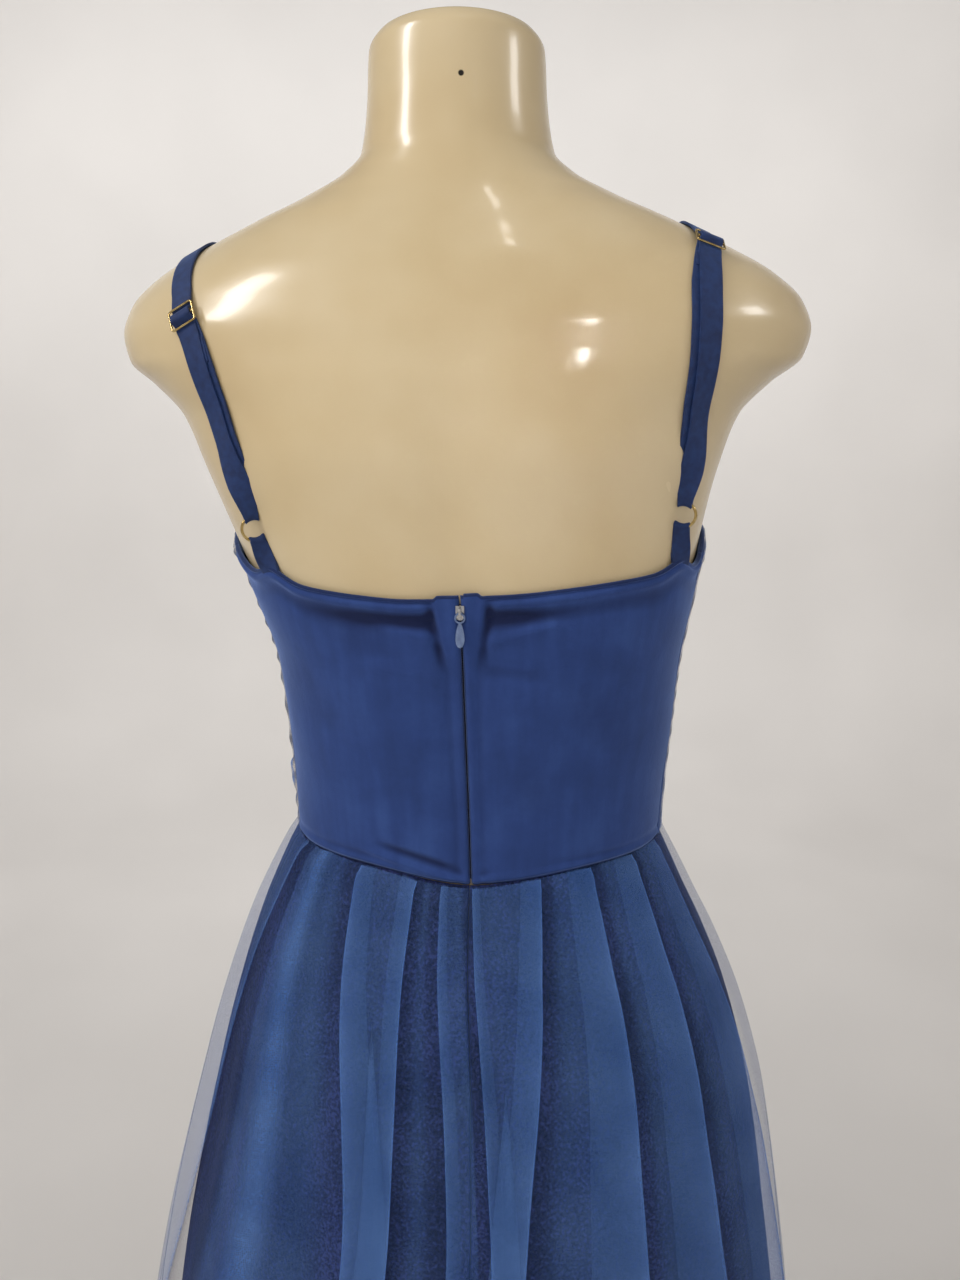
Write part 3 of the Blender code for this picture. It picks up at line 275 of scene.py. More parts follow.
# Zip: a concealed one. Two woven tapes carry nylon coils that lie behind the cloth, so that only a dark
# line shows where the back panels meet. It runs straight, although the torso sways beside it.
CLOTH_EASE = 2.2
CUP_BRIDGE = 0.5
ZIP_FOOT_X, ZIP_LEAN = 3.6, 0.025
ZIP_TAPE_LOW, ZIP_TAPE_HIGH, ZIP_TAPE_HALF_WIDTH, ZIP_TAPE_LIFT = 1.5, 168.0, 9.0, 0.9
ZIP_SLIDER_HEIGHT, ZIP_SLIDER_LENGTH = 164.5, 8.0
ZIP_RADIUS = 91.0
TAPE_RIB = 1.0
COIL_RADIUS, COIL_LIFT, COIL_APART, COIL_THREAD, COIL_TURNS = 0.5, 1.6, 0.65, 0.16, 110


def moved_out(points_at, angle, height, distance):
    """A surface's points moved along its normal, which is the cross product of two small steps on it."""
    small_turn, small_rise = 0.002, 0.5
    here = points_at(angle, height)
    round_way = points_at(angle + small_turn, height) - points_at(angle - small_turn, height)
    up_way = points_at(angle, height + small_rise) - points_at(angle, height - small_rise)
    normal = np.cross(round_way, up_way)
    normal /= np.linalg.norm(normal, axis=-1, keepdims=True)
    return here + normal * np.asarray(distance, float)[..., None]


def spanned_body(angle, height):
    """The torso's surface with the hollow between the cups filled, as cloth spans it."""
    return body_points(angle, height, CUP_BRIDGE)


def cloth_on_body(angle, height, distance):
    """Cloth that lies at a distance over the torso."""
    return moved_out(spanned_body, angle, height, np.broadcast_to(distance, np.shape(height)))


def zip_angle(height):
    """The straight zip's angle round the swaying body, from its distance to the section's middle."""
    _, back, _, _, sway = smooth_columns(FORM_SECTIONS, height)
    across = ZIP_FOOT_X + ZIP_LEAN * np.asarray(height, float) - sway
    return math.pi / 2 - across / (back + CLOTH_EASE)


def wall(piece, thickness, offset=1.0):
    """Gives an open surface its cloth's thickness, grown outwards unless the offset says otherwise."""
    solidify = piece.modifiers.new("wall", "SOLIDIFY")
    solidify.thickness = thickness * MM
    solidify.offset = offset


def on_dress(piece, slot, *nodes):
    """Lets a piece ride with the dress and stand for CAD nodes. Its slot is not used."""
    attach(piece, "dress_on_form")
    if nodes:
        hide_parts(*nodes)


# Woven polyester tape: dark navy with one rib for each pick, drawn 1 mm apart.
tape_cloth, shader, place = new_material("navy_polyester_tape", Roughness=0.8, Sheen_Weight=0.2)
rib_scale = 1 / (TAPE_RIB * MM) / 20 * 2 * math.pi
ribs = add_node(tape_cloth, "TexWave", ("Vector", place, "UV"), bands_direction="Y", Scale=rib_scale)
tone = add_node(tape_cloth, "ValToRGB", ("Fac", ribs, "Fac"), stops=((0.0, "0B1226"), (1.0, "141D3A")))
bump = add_node(tape_cloth, "Bump", ("Height", ribs, "Fac"), Strength=0.5, Distance=0.0002)
set_up(shader, [("Base Color", tone, "Color"), ("Normal", bump, "Normal")], {})

tape_columns = 13
tape_heights = np.repeat(np.linspace(ZIP_TAPE_LOW, ZIP_TAPE_HIGH, 120)[:, None], tape_columns, axis=1)
tape_reach = ZIP_TAPE_HALF_WIDTH / ZIP_RADIUS
tape_angles = zip_angle(tape_heights) + np.linspace(-tape_reach, tape_reach, tape_columns)
zip_tape = surface("zip_tape_woven", cloth_on_body(tape_angles, tape_heights, ZIP_TAPE_LIFT), tape_cloth)
wall(zip_tape, 0.6)
on_dress(zip_tape, "zip_tape", "zip_tape")

# Nylon coils: two monofilament helices, dyed with the tape and set side by side under the opening.
coil_share = np.linspace(0, 1, COIL_TURNS * 8)
coil_low = ZIP_TAPE_LOW + 3
coil_heights = coil_low + coil_share * (ZIP_SLIDER_HEIGHT - ZIP_SLIDER_LENGTH / 2 - coil_low)
coil_turn = coil_share * COIL_TURNS * 2 * math.pi
for side, name in ((-1, "zip_coil_left"), (1, "zip_coil_right")):
    coil_angles = zip_angle(coil_heights) + side * (COIL_APART + COIL_RADIUS * np.cos(coil_turn)) / ZIP_RADIUS
    coil_line = cloth_on_body(coil_angles, coil_heights, COIL_LIFT + COIL_RADIUS * np.sin(coil_turn) * 0.6)
    curve = bpy.data.curves.new(name, "CURVE")
    curve.dimensions = "3D"
    curve.bevel_depth = COIL_THREAD * MM
    curve.bevel_resolution = 1
    curve.use_fill_caps = True
    spline = curve.splines.new("POLY")
    spline.points.add(len(coil_line) - 1)
    spline.points.foreach_set("co", np.column_stack([coil_line * MM, np.ones(len(coil_line))]).ravel())
    curve.materials.append(tape_cloth)
    coil = bpy.data.objects.new(name, curve)
    bpy.context.scene.collection.objects.link(coil)
    on_dress(coil, "zip_tape")


# Bodice: a front and two back panels of a heavy stretch crepe with a brushed, velvety face, joined at
# the sides and closed by the zip. The top edge is turned over a facing and pressed, the panels' edges
# fold in beside the zip, and the zip's stiff top end makes two small ears and a few drag lines.
BODICE_WALL, BODICE_OUTSIDE = 0.8, 4.2
EDGE_ROLL, FACING_LIFT, FACING_DEPTH = 1.2, 1.3, 8.0
EAR_RISE, EAR_MIDDLE, EAR_REACH = 1.8, 88.1, 7.4
TAB_RISE, TAB_SPREAD = 6.5, 5.2
TAB_FOOT_ANGLE = {"left": 33.5, "right": 153.6}
SIDE_SEAM = 12.0
ZIP_OPENING, BACK_RADIUS, SIDE_RADIUS = 0.9, 88.0, 118.0
SEAM_LEVEL, SEAM_DIP, SEAM_DIP_SPREAD, SEAM_GAP = 7.5, 8.5, 32.0, 0.3
BACK_HEIGHT = 172.0
NAP_BLOTCH, NAP_STREAK, CREPE_GRAIN = 30.0, 9.0, 0.9
GROOVE_DEPTH, GROOVE_WIDTH = 0.5, 1.3
side_turn, seam_turn = math.radians(SIDE_SEAM), math.radians(0.08)
zip_turn = ZIP_OPENING / 2 / BACK_RADIUS
# The drag lines under the zip's top and the pucker over the waist seam. Columns: where each starts and
# ends (distance from the zip to the wearer's right, height above the waist), width, rise
BACK_FOLDS = (
    ((9, 148), (40, 157), 3.0, 0.8),
    ((-10, 146), (-46, 158), 3.5, 0.9),
    ((10, 128), (52, 134), 5.0, 0.6),
    ((-10, 132), (-40, 128), 4.5, -0.6),
    ((62, 15), (6, 1.5), 2.4, 1.6),
    ((56, 21), (8, 8), 2.8, -1.4),
    ((-8, 3), (-44, 10), 2.6, 0.6),
)
# Columns: angle from the side towards centre back (90) or centre front (-90), height above the waist
TOP_EDGE_FRONT = (
    (-90, 166), (-80, 178), (-70, 195), (-60, 213), (-53, 226), (-48, 230), (-41, 230), (-35, 226),
)
TOP_EDGE_LEFT = TOP_EDGE_FRONT + (
    (-20, 214), (-6, 205), (6, 198), (16, 190), (24, 183), (30, 180), (36, 178.5), (46, 175.5),
    (58, 173), (72, 171.3), (90, 171.5),
)
TOP_EDGE_RIGHT = TOP_EDGE_FRONT + (
    (-20, 215), (-8, 207), (2, 200), (10, 191), (17, 184), (23, 182), (31, 182.5), (42, 180.5),
    (56, 177.5), (72, 174.5), (90, 172.5),
)


def top_edge(angle):
    """Height of the top edge round the body, from the left or right side's own curve. It stands up by
    the zip's stiff end and sweeps up to each tab."""
    angle = np.asarray(angle, float)
    from_side = np.degrees(np.arcsin(np.sin(angle)))
    left, right = smooth_columns(TOP_EDGE_LEFT, from_side)[0], smooth_columns(TOP_EDGE_RIGHT, from_side)[0]
    turn = np.degrees(angle)
    ear = EAR_RISE * (1 - step(np.abs(turn - EAR_MIDDLE), EAR_REACH - 1.0, EAR_REACH + 0.6))
    tabs = sum(bell(turn - foot, TAB_SPREAD) for foot in TAB_FOOT_ANGLE.values())
    return np.where(np.cos(angle) >= 0, left, right) + ear + TAB_RISE * tabs


def seam_height(angle):
    """Height of the waist seam: level, less a bell round centre back."""
    from_back = np.degrees(np.arccos(np.clip(np.sin(angle), -1, 1)))
    return SEAM_LEVEL - SEAM_DIP * bell(from_back, SEAM_DIP_SPREAD)


def ridge(across, height, start, end, width):
    """A crease from one point to another on the cloth: a bell across its line that fades at both ends."""
    along_x, along_h = end[0] - start[0], end[1] - start[1]
    length = math.hypot(along_x, along_h)
    share = ((across - start[0]) * along_x + (height - start[1]) * along_h) / length**2
    off = ((across - start[0]) * along_h - (height - start[1]) * along_x) / length
    return bell(off, width) * step(share, -0.15, 0.25) * (1 - step(share, 0.75, 1.15))


def rolled_edge(below_top):
    """The rolled top edge: a soft roll 5 mm under the top, and over it the line where it is pressed."""
    return 0.9 * bell(below_top - 5.0, 2.4) - 0.9 * bell(below_top - 2.3, 0.9)


def side_grooves(angle):
    """The grooves along both side seams, by the shortest turn from each seam."""
    from_seams = [angle - seam + math.pi for seam in (side_turn, math.pi - side_turn)]
    turns = [np.remainder(turn, 2 * math.pi) - math.pi for turn in from_seams]
    return -GROOVE_DEPTH * sum(bell(turn * SIDE_RADIUS, GROOVE_WIDTH) for turn in turns)


def back_relief(angle, height):
    """How far the back panels stand out of an even layer, in millimetres: the rolled top edge and the
    hollow under it, the ears at the zip's top with a crease beside each, the edges folded in at the zip,
    the folds, the waist seam, the side seams, and the slight waves of loose cloth."""
    below_top = top_edge(angle) - height
    across = (zip_angle(height) - angle) * BACK_RADIUS
    beside = np.abs(across)
    above_seam = height - seam_height(angle)
    hollow = -(0.7 + 1.4 * bell(beside - 18, 40)) * bell(below_top - 12.5, 5.5)
    edge = (rolled_edge(below_top) + hollow) * step(beside, 12, 15)
    ear_reach = 13.5 - 0.13 * below_top
    ear = 0.9 * (1 - step(beside, ear_reach - 1.5, ear_reach + 0.5))
    ear = ear - 1.5 * bell(beside - ear_reach - 2.0, 2.2) * step(below_top, 1, 6)
    at_zip = 0.5 * bell(beside - 3.4, 2.4) - 0.4 * bell(beside - 8.5, 3.0) - 1.6 * bell(beside, 1.3)
    folds = sum(rise * ridge(across, height, start, end, width) for start, end, width, rise in BACK_FOLDS)
    seam = 0.4 * bell(above_seam - 2.5, 2.0) - 0.4 * bell(above_seam - 6.5, 2.4)
    seam = seam - 1.2 * bell(above_seam, 1.2) + side_grooves(angle)
    loose = 0.45 * np.sin(height / 17 + 2.2 * angle) * np.sin(5.3 * angle + height / 60)
    creases = at_zip + folds + seam + loose * step(beside, 12, 40)
    return ear * (1 - step(below_top, 26, 46)) + (edge + creases) * step(below_top, 0, 2)


def front_relief(angle, height):
    """The front's relief: the rolled top edge, the waist seam's ridge and the side seams' grooves."""
    seam = 0.45 * bell(height - seam_height(angle) - 2.0, 2.0)
    return rolled_edge(top_edge(angle) - height) + seam + side_grooves(angle)


def denser_ends(count):
    """Shares from 0 to 1 that lie closer together at both ends, where the cloth has its edges."""
    even = np.linspace(0, 1, count)
    return even - 0.72 / (2 * math.pi) * np.sin(2 * math.pi * even)


def panel(name, first, last, rows, columns, relief, finish):
    """A bodice panel between two side lines: rows go from the waist seam up to the top edge, over it in
    a half circle and down the inside again as a facing."""
    share, across = denser_ends(rows)[:, None], denser_ends(columns)[None, :]
    angles = first(share * BACK_HEIGHT) + across * (last(share * BACK_HEIGHT) - first(share * BACK_HEIGHT))
    low, high = seam_height(angles[:1]) - SEAM_GAP, top_edge(angles[-1:])
    heights = low + share * (high - EDGE_ROLL - low)
    facing_foot = high - EDGE_ROLL - FACING_DEPTH
    over_facing = step(heights, facing_foot - 7, facing_foot - 1) * (FACING_LIFT + BODICE_WALL + 0.1)
    stand_off = np.maximum(BODICE_OUTSIDE + relief(angles, heights), over_facing)
    turn = np.linspace(0, math.pi, 8)[1:, None]
    radius = (stand_off[-1:] - FACING_LIFT) / 2
    roll_heights = high - EDGE_ROLL + EDGE_ROLL * np.sin(turn)
    roll_off = FACING_LIFT + radius + radius * np.cos(turn)
    facing_heights = high - EDGE_ROLL - np.linspace(0, FACING_DEPTH, 5)[1:, None]
    heights = np.concatenate([heights, roll_heights, facing_heights])
    stand_off = np.concatenate([stand_off, roll_off, np.full(facing_heights.shape, FACING_LIFT)])
    angles = np.concatenate([angles, np.repeat(angles[-1:], len(heights) - rows, axis=0)])
    made = surface(name, cloth_on_body(angles, heights, stand_off), finish)
    # Painted shade: darker where the cloth lies sunk in creases and hollows, and over the roll and facing.
    crease_shade = np.clip((BODICE_OUTSIDE - 0.15 - stand_off) / 1.5, 0, 1)
    crease_shade[rows - 1 :] = 0.75
    mark(made, "painted_crease_shade", crease_shade)
    wall(made, BODICE_WALL, -1.0)
    return made


# Brushed polyester crepe: royal blue that darkens where the nap is stroked flat, in clouds of about
# 30 mm and upright streaks, with a pebbled grain, and a lighter bloom where it is seen edge-on. A
# darker navy is mixed in as painted shade where the cloth lies sunk in creases and hollows, and over
# the rolled top edge and its facing.
crepe, shader, place = new_material(
    "royal_blue_brushed_crepe",
    Roughness=0.85,
    Sheen_Weight=0.85,
    Sheen_Roughness=0.42,
    Sheen_Tint="8FA9E0",
    Specular_IOR_Level=0.25,
)
blotch = {"Scale": 1000 / NAP_BLOTCH, "Detail": 5.0, "Roughness": 0.6}
clouds = add_node(crepe, "TexNoise", ("Vector", place, "Object"), **blotch)
stretch = add_node(crepe, "Mapping", ("Vector", place, "Object"), Scale=(1.0, 1.0, 0.12))
streaks = add_node(crepe, "TexNoise", ("Vector", stretch, "Vector"), Scale=1000 / NAP_STREAK, Detail=4.0)
nap = add_node(crepe, "Mix", ("A", clouds, "Fac"), ("B", streaks, "Fac"), data_type="FLOAT", Factor=0.4)
blues = ((0.3, "263B70"), (0.5, "2B427D"), (0.7, "344E8B"))
tone = add_node(crepe, "ValToRGB", ("Fac", nap, "Result"), stops=blues)
# Painted shade: a darker navy mixed in where the cloth lies sunk, and over the roll and facing.
crease = add_node(crepe, "Attribute", attribute_name="painted_crease_shade")
shade = add_node(crepe, "Mix", ("Factor", crease, "Fac"), ("A", tone, "Color"), data_type="RGBA", B="131D42")
grain = add_node(crepe, "TexNoise", ("Vector", place, "Object"), Scale=1000 / CREPE_GRAIN, Detail=2.0)
fine = add_node(crepe, "Bump", ("Height", grain, "Fac"), Strength=0.35, Distance=0.0004)
soft_links = ("Height", clouds, "Fac"), ("Normal", fine, "Normal")
soft = add_node(crepe, "Bump", *soft_links, Strength=0.3, Distance=0.002)
set_up(shader, [("Base Color", shade, "Result"), ("Normal", soft, "Normal")], {})

# Columns: where the panel starts and ends by height, rows, columns, relief, flat width and height
PANELS = {
    "bodice_back_left": (
        lambda height: side_turn + seam_turn + 0 * height,
        lambda height: zip_angle(height) - zip_turn,
        (150, 120, back_relief),
        (0.145, 0.21),
    ),
    "bodice_back_right": (
        lambda height: zip_angle(height) + zip_turn,
        lambda height: math.pi - side_turn - seam_turn + 0 * height,
        (150, 120, back_relief),
        (0.155, 0.21),
    ),
    "bodice_front": (
        lambda height: -math.pi - side_turn + seam_turn + 0 * height,
        lambda height: side_turn - seam_turn + 0 * height,
        (130, 260, front_relief),
        (0.46, 0.25),
    ),
}
for name, (first, last, build, flat) in PANELS.items():
    crepe_panel = panel(f"{name}_crepe", first, last, *build, crepe)
    on_dress(crepe_panel, "bodice_cloth", name)


# Lining: the opaque inner skirt, of navy polyester satin-back crepe, in a front and two back panels.
# It is sewn into the waist seam under the net and hangs in long shallow waves.
# Columns: drop below the waist, half width, back depth, front depth, fold depth, lining inset, lining
# wave, sway
SKIRT_SECTIONS = (
    (-8, 120.4, 84.6, 94.8, 0.8, 2.6, 0.0, 3.0),
    (4, 127.5, 90, 100.5, 1.6, 4.0, 0.2, 4.4),
    (40, 146, 110, 118, 2.8, 6.5, 0.7, 4.6),
    (70, 160, 127, 132, 3.6, 8.0, 1.0, 3.4),
    (114, 177, 147, 150, 4.6, 9.5, 1.5, 2.2),
    (160, 191, 163, 165, 5.4, 10.6, 1.8, 2.4),
    (207, 202.5, 177, 178, 6.2, 11.7, 2.2, 4.2),
    (292, 220, 200, 200, 7.6, 13.8, 2.6, 8.6),
    (364, 232, 214, 213, 8.6, 15.8, 3.0, 11.0),
    (500, 254, 240, 238, 10.5, 19.0, 3.6, 10.0),
    (700, 287, 276, 273, 13.2, 23.0, 4.4, 7.0),
    (900, 322, 313, 309, 16.0, 27.5, 5.0, 4.0),
    (1038, 348, 340, 336, 18.0, 30.5, 5.4, 2.0),
)
SQUARE_TOP, SQUARE_LOW, ROUND_FROM = 2.2, 2.0, 150.0
SKIRT_LENGTH, LINING_LENGTH, LINING_WAVES, LINING_SWAY = 1038.0, 1024.0, 12, 5.5
TUCK_DEPTH, TUCK_REACH = 2.0, 5.0
WEAVE = 1.7


def skirt_points(angle, drop, inset):
    """A skirt's smooth surface by angle and drop down the cloth: an oval for each level, set in from the
    outer skirt's middle. Its top follows the dipping waist seam and tucks in under it, its hem is level."""
    angle, drop = np.broadcast_arrays(angle, drop)
    below_waist = drop - seam_height(angle) * (1 - drop / SKIRT_LENGTH)
    columns = smooth_columns(SKIRT_SECTIONS, below_waist)
    half_width, back, front, sway = columns[0], columns[1], columns[2], columns[6]
    squareness = SQUARE_TOP + np.clip(drop / ROUND_FROM, 0, 1) * (SQUARE_LOW - SQUARE_TOP)
    inset = inset + TUCK_DEPTH * (1 - step(drop, 0, TUCK_REACH))
    x, y = oval(angle, half_width - inset, back - inset, front - inset, squareness)
    return np.stack([x + sway, y, WAIST - SEAM_GAP - below_waist], axis=-1)


def line_length(points):
    """The length of a line of points."""
    return float(np.linalg.norm(np.diff(points, axis=0), axis=1).sum())


# Polyester crepe: dark navy with a salt-and-pepper grain from its twisted yarns, drawn at 1.7 mm,
# dull enough that its long waves show only as soft shade.
lining_crepe, shader, place = new_material(
    "navy_polyester_crepe",
    Roughness=0.75,
    Sheen_Weight=0.2,
    Sheen_Roughness=0.5,
    Sheen_Tint="4A63B0",
    Specular_IOR_Level=0.2,
)
grain = add_node(lining_crepe, "TexNoise", ("Vector", place, "Object"), Scale=1000 / WEAVE, Detail=3.0)
hang = add_node(lining_crepe, "Mapping", ("Vector", place, "Object"), Scale=(1.0, 1.0, 0.08))
cloud = add_node(lining_crepe, "TexNoise", ("Vector", hang, "Vector"), Scale=42.0, Detail=4.0)
blend_links = ("A", grain, "Fac"), ("B", cloud, "Fac")
blend = add_node(lining_crepe, "Mix", *blend_links, data_type="FLOAT", Factor=0.35)
navies = ((0.36, "0C122B"), (0.5, "1D2549"), (0.64, "353E75"))
tone = add_node(lining_crepe, "ValToRGB", ("Fac", blend, "Result"), stops=navies)
bump = add_node(lining_crepe, "Bump", ("Height", grain, "Fac"), Strength=0.4, Distance=0.0004)
set_up(shader, [("Base Color", tone, "Color"), ("Normal", bump, "Normal")], {})

panel_gap = math.radians(0.12)
lining_spans = {
    "lining_back_left": (side_turn, math.pi / 2, 110),
    "lining_back_right": (math.pi / 2, math.pi - side_turn, 110),
    "lining_front": (math.pi - side_turn, 2 * math.pi + side_turn, 280),
}
lining_drop = np.linspace(LINING_LENGTH, 0, 150)[:, None]
lining_inset, lining_wave = smooth_columns(SKIRT_SECTIONS, lining_drop)[4:6]
for name, (first, last, columns) in lining_spans.items():
    angle = np.linspace(first + panel_gap, last - panel_gap, columns)[None, :]
    swing = np.sin(angle * LINING_WAVES) + 0.25 * np.sin(angle * 31 + 1.3)
    grid = skirt_points(angle, lining_drop, lining_inset - swing * lining_wave)
    grid[..., 0] -= LINING_SWAY * step(lining_drop, 20, 380)
    lining_panel = surface(f"{name}_crepe", grid, lining_crepe)
    wall(lining_panel, 0.6, 0.0)
    on_dress(lining_panel, "lining_cloth", name)


# Overskirt: soft tulle, a net of fine nylon threads, cut in three panels and pleated into the waist
# seam. Each pleat lies over itself in three layers, so it shows as a deeper blue band with one crisp
# edge, where the net turns round. An overlap of 0 is a soft bunch without a fold.
NET_HOLE = 1.3
PLEAT_SETTLES = 215.0
# Columns: angle at the waist and 215 mm down, half span there and there, lay, overlap, depth share.
# The lay is 1 for an outer edge towards greater angles. Angles run from the wearer's left (0) to the
# back (90) and right (180).
PLEATS = (
    (4, 4, 6.0, 6.0, 1, 0.9, 0.1),
    (22, 26.5, 5.0, 7.5, 1, 2.4, 1.0),
    (32.5, 46, 5.0, 7.0, 1, 0.0, 0.5),
    (50.5, 71, 5.0, 5.0, -1, 3.0, 1.1),
    (66.5, 74, 5.5, 4.0, 1, 3.4, 1.2),
    (80.5, 88, 4.0, 4.0, -1, 2.3, 0.8),
    (92.5, 96.5, 3.4, 3.8, -1, 2.6, 1.0),
    (113, 98, 6.0, 4.0, 1, 3.2, 1.0),
    (130.5, 118.5, 6.0, 7.0, 1, 3.4, 1.1),
    (147, 135.5, 5.0, 5.5, 1, 3.4, 1.1),
    (161, 155, 5.0, 6.0, 1, 2.8, 0.9),
    (178, 176, 6.0, 6.0, -1, 0.9, 0.1),
    (202, 202, 7.0, 7.0, 1, 0.9, 0.3),
    (219, 219, 7.5, 7.5, 1, 2.6, 1.1),
    (236, 236, 7.0, 7.0, 1, 3.0, 0.9),
    (252, 252, 7.0, 7.0, 1, 0.0, 0.8),
    (270, 270, 7.5, 7.5, -1, 3.0, 1.1),
    (288, 288, 7.0, 7.0, -1, 0.0, 0.8),
    (304, 304, 7.0, 7.0, -1, 3.0, 0.9),
    (321, 321, 7.5, 7.5, -1, 2.6, 1.1),
    (338, 338, 7.0, 7.0, -1, 0.9, 0.3),
)
PLEAT_COLUMNS, FLAT_COLUMNS, NET_ROWS = 40, 10, 150
OVERSKIRT_SEAMS = {"left": 8.5, "back": 87.2, "right": 172.5}


def pleated_columns(drop):
    """Angle, swing and density of every column at each drop. Over a pleat the phase p runs from minus
    to plus pi. The angle is the centre plus half the span times (p - overlap * sin p) / pi, which runs
    back on itself in the middle. The swing is minus the lay times the depth times sin p. Between pleats
    the net is flat. Its density is greatest at a pleat's outer turn, where the net is seen edge-on and
    a narrow painted highlight runs along the fold, and least at its inner one. Beside each crisp edge
    the flat net is thinned as painted shade, so that the dark lining shows as in the fold's shadow."""
    settled = np.sin(np.clip(drop / PLEAT_SETTLES, 0, 1) * math.pi / 2)
    table = np.array(PLEATS)
    centre = table[:, 0] + settled * (table[:, 1] - table[:, 0])
    wander = np.sin(drop / 83 + table[:, 0] * 0.31) + 0.4 * np.sin(drop / 39 + table[:, 0] * 0.7)
    centre = centre + 0.35 * settled * wander
    half = table[:, 2] + settled * (table[:, 3] - table[:, 2])
    phase = np.linspace(-math.pi, math.pi, PLEAT_COLUMNS)
    lean = phase - table[:, 5][:, None] * np.sin(phase)
    pleat_angle = centre[:, :, None] + half[:, :, None] * lean[None] / math.pi
    pleat_swing = -(table[:, 4] * table[:, 6])[:, None] * np.sin(phase)
    starts, ends = centre - half, centre + half
    after = np.concatenate([starts[:, 1:], starts[:, :1] + 360], axis=1)
    share = np.linspace(0, 1, FLAT_COLUMNS + 2)[1:-1]
    flat_angle = ends[:, :, None] + share * (after - ends)[:, :, None]
    angle = np.concatenate([pleat_angle, flat_angle], axis=2).reshape(len(drop), -1)
    swing = np.concatenate([pleat_swing, np.zeros((len(table), FLAT_COLUMNS))], axis=1).reshape(1, -1)
    lay, overlap = table[:, 4][:, None], table[:, 5][:, None]
    facing, turn, laid = phase * lay, np.arccos(1 / np.maximum(overlap, 1.05)), step(overlap, 1.0, 2.4)
    # The peaks at the outer turn are partly the net seen edge-on and partly a painted highlight along the
    # fold.
    dense = 1 + laid * (0.9 * bell(facing + turn, 0.5) - 0.62 * step(facing, -0.5 * turn, 0.9 * turn))
    dense = dense + 1.7 * step(overlap, 2.5, 3.2) * bell(facing + turn, 0.17)
    dense = dense + 1.0 * (overlap == 0) * bell(phase, 1.4)
    # Painted shade: the flat net beside each crisp edge is thinned, so that the dark lining shows as in a
    # shadow.
    shade = 1 - 0.62 * laid * (1 - step(share, 0, 0.7))
    flat_shade = np.where(lay > 0, shade, 1.0) * np.roll(np.where(lay < 0, shade, 1.0), -1, axis=0)[:, ::-1]
    density = np.concatenate([dense, flat_shade], axis=1).reshape(1, -1)
    return angle, np.broadcast_to(swing, angle.shape), np.broadcast_to(density, angle.shape)


# Nylon tulle: clear blue threads round open holes of 1 mm, drawn at 1.3 mm. Most light passes between
# the threads. It lies densest at a pleat's outer turn, partly as a painted highlight along the fold, and
# is drawn out thin at the soft inner one. Beside each crisp edge it is thinned as painted shade.
tulle, shader, place = new_material(
    "blue_nylon_tulle",
    Roughness=0.6,
    Sheen_Weight=0.3,
    Sheen_Roughness=0.4,
    Sheen_Tint="8AA6DC",
    Specular_IOR_Level=0.25,
)
net = {"feature": "DISTANCE_TO_EDGE", "Randomness": 0.5, "Scale": 1000 / NET_HOLE}
holes = add_node(tulle, "TexVoronoi", ("Vector", place, "UV"), **net)
thread = {"From_Min": 0.05, "From_Max": 0.3, "To_Min": 0.32, "To_Max": 0.17}
threads = add_node(tulle, "MapRange", ("Value", holes, "Distance"), **thread)
layers = add_node(tulle, "Attribute", attribute_name="net_cover_and_shade")
cover_links = (0, layers, "Fac"), (1, threads, "Result")
cover = add_node(tulle, "Math", *cover_links, operation="MULTIPLY", use_clamp=True)
cloud = add_node(tulle, "TexNoise", ("Vector", place, "UV"), Scale=22.0, Detail=3.0)
tone = add_node(tulle, "ValToRGB", ("Fac", cloud, "Fac"), stops=((0.3, "456DB2"), (0.7, "5F88CC")))
set_up(shader, [("Alpha", cover, "Value"), ("Base Color", tone, "Color")], {})

net_drop = SKIRT_LENGTH * (np.linspace(1, 0, NET_ROWS) ** 1.3)[:, None]
net_angle, net_swing, net_density_and_shade = pleated_columns(net_drop)
net_depth = smooth_columns(SKIRT_SECTIONS, net_drop)[3]
net_grid = skirt_points(np.radians(net_angle), net_drop, -net_swing * net_depth)
seam_angles = [OVERSKIRT_SEAMS[side] for side in ("left", "back", "right")]
flat_order = net_angle[-1]
cuts = [int(np.argmin(np.abs(flat_order - angle) + 100 * (net_swing[-1] != 0))) for angle in seam_angles]
net_spans = {
    "overskirt_back_left": np.arange(cuts[0], cuts[1] + 1),
    "overskirt_back_right": np.arange(cuts[1], cuts[2] + 1),
    "overskirt_front": np.concatenate([np.arange(cuts[2], net_grid.shape[1]), np.arange(0, cuts[0] + 1)]),
}
for name, columns in net_spans.items():
    grid = net_grid[:, columns]
    net_panel = surface(f"{name}_tulle", grid, tulle)
    mark(net_panel, "net_cover_and_shade", net_density_and_shade[:, columns])
    on_dress(net_panel, "tulle", name)
    widths = np.linalg.norm(np.diff(grid, axis=1), axis=2).sum(axis=1) * MM


# Ruched net: the same tulle, gathered into the front panel's seams and draped over it in small folds
# that run down to the middle. From behind only its waves show at the wearer's left side.
RUCHE_LIFT, RUCHE_FOLD, RUCHE_SLOPE, RUCHE_DEPTH = 0.7, 15.0, 0.55, 1.7
RUCHE_ROWS, RUCHE_COLUMNS, FRONT_RADIUS = 150, 300, 105.0
ruche_up, ruche_across = np.linspace(0, 1, RUCHE_ROWS)[:, None], np.linspace(0, 1, RUCHE_COLUMNS)[None, :]
ruche_angle = -math.pi - side_turn + 0.02 + ruche_across * (math.pi + 2 * side_turn - 0.04)
ruche_low, ruche_high = seam_height(ruche_angle) + 0.5, top_edge(ruche_angle) - 1.5
ruche_height = ruche_low + ruche_up * (ruche_high - ruche_low)
from_front = ruche_angle + math.pi / 2
ruche_phase = (ruche_height - RUCHE_SLOPE * FRONT_RADIUS * np.abs(from_front)) / RUCHE_FOLD
ruche_phase = ruche_phase + 0.45 * np.sin(ruche_height / 19 + 3 * from_front)
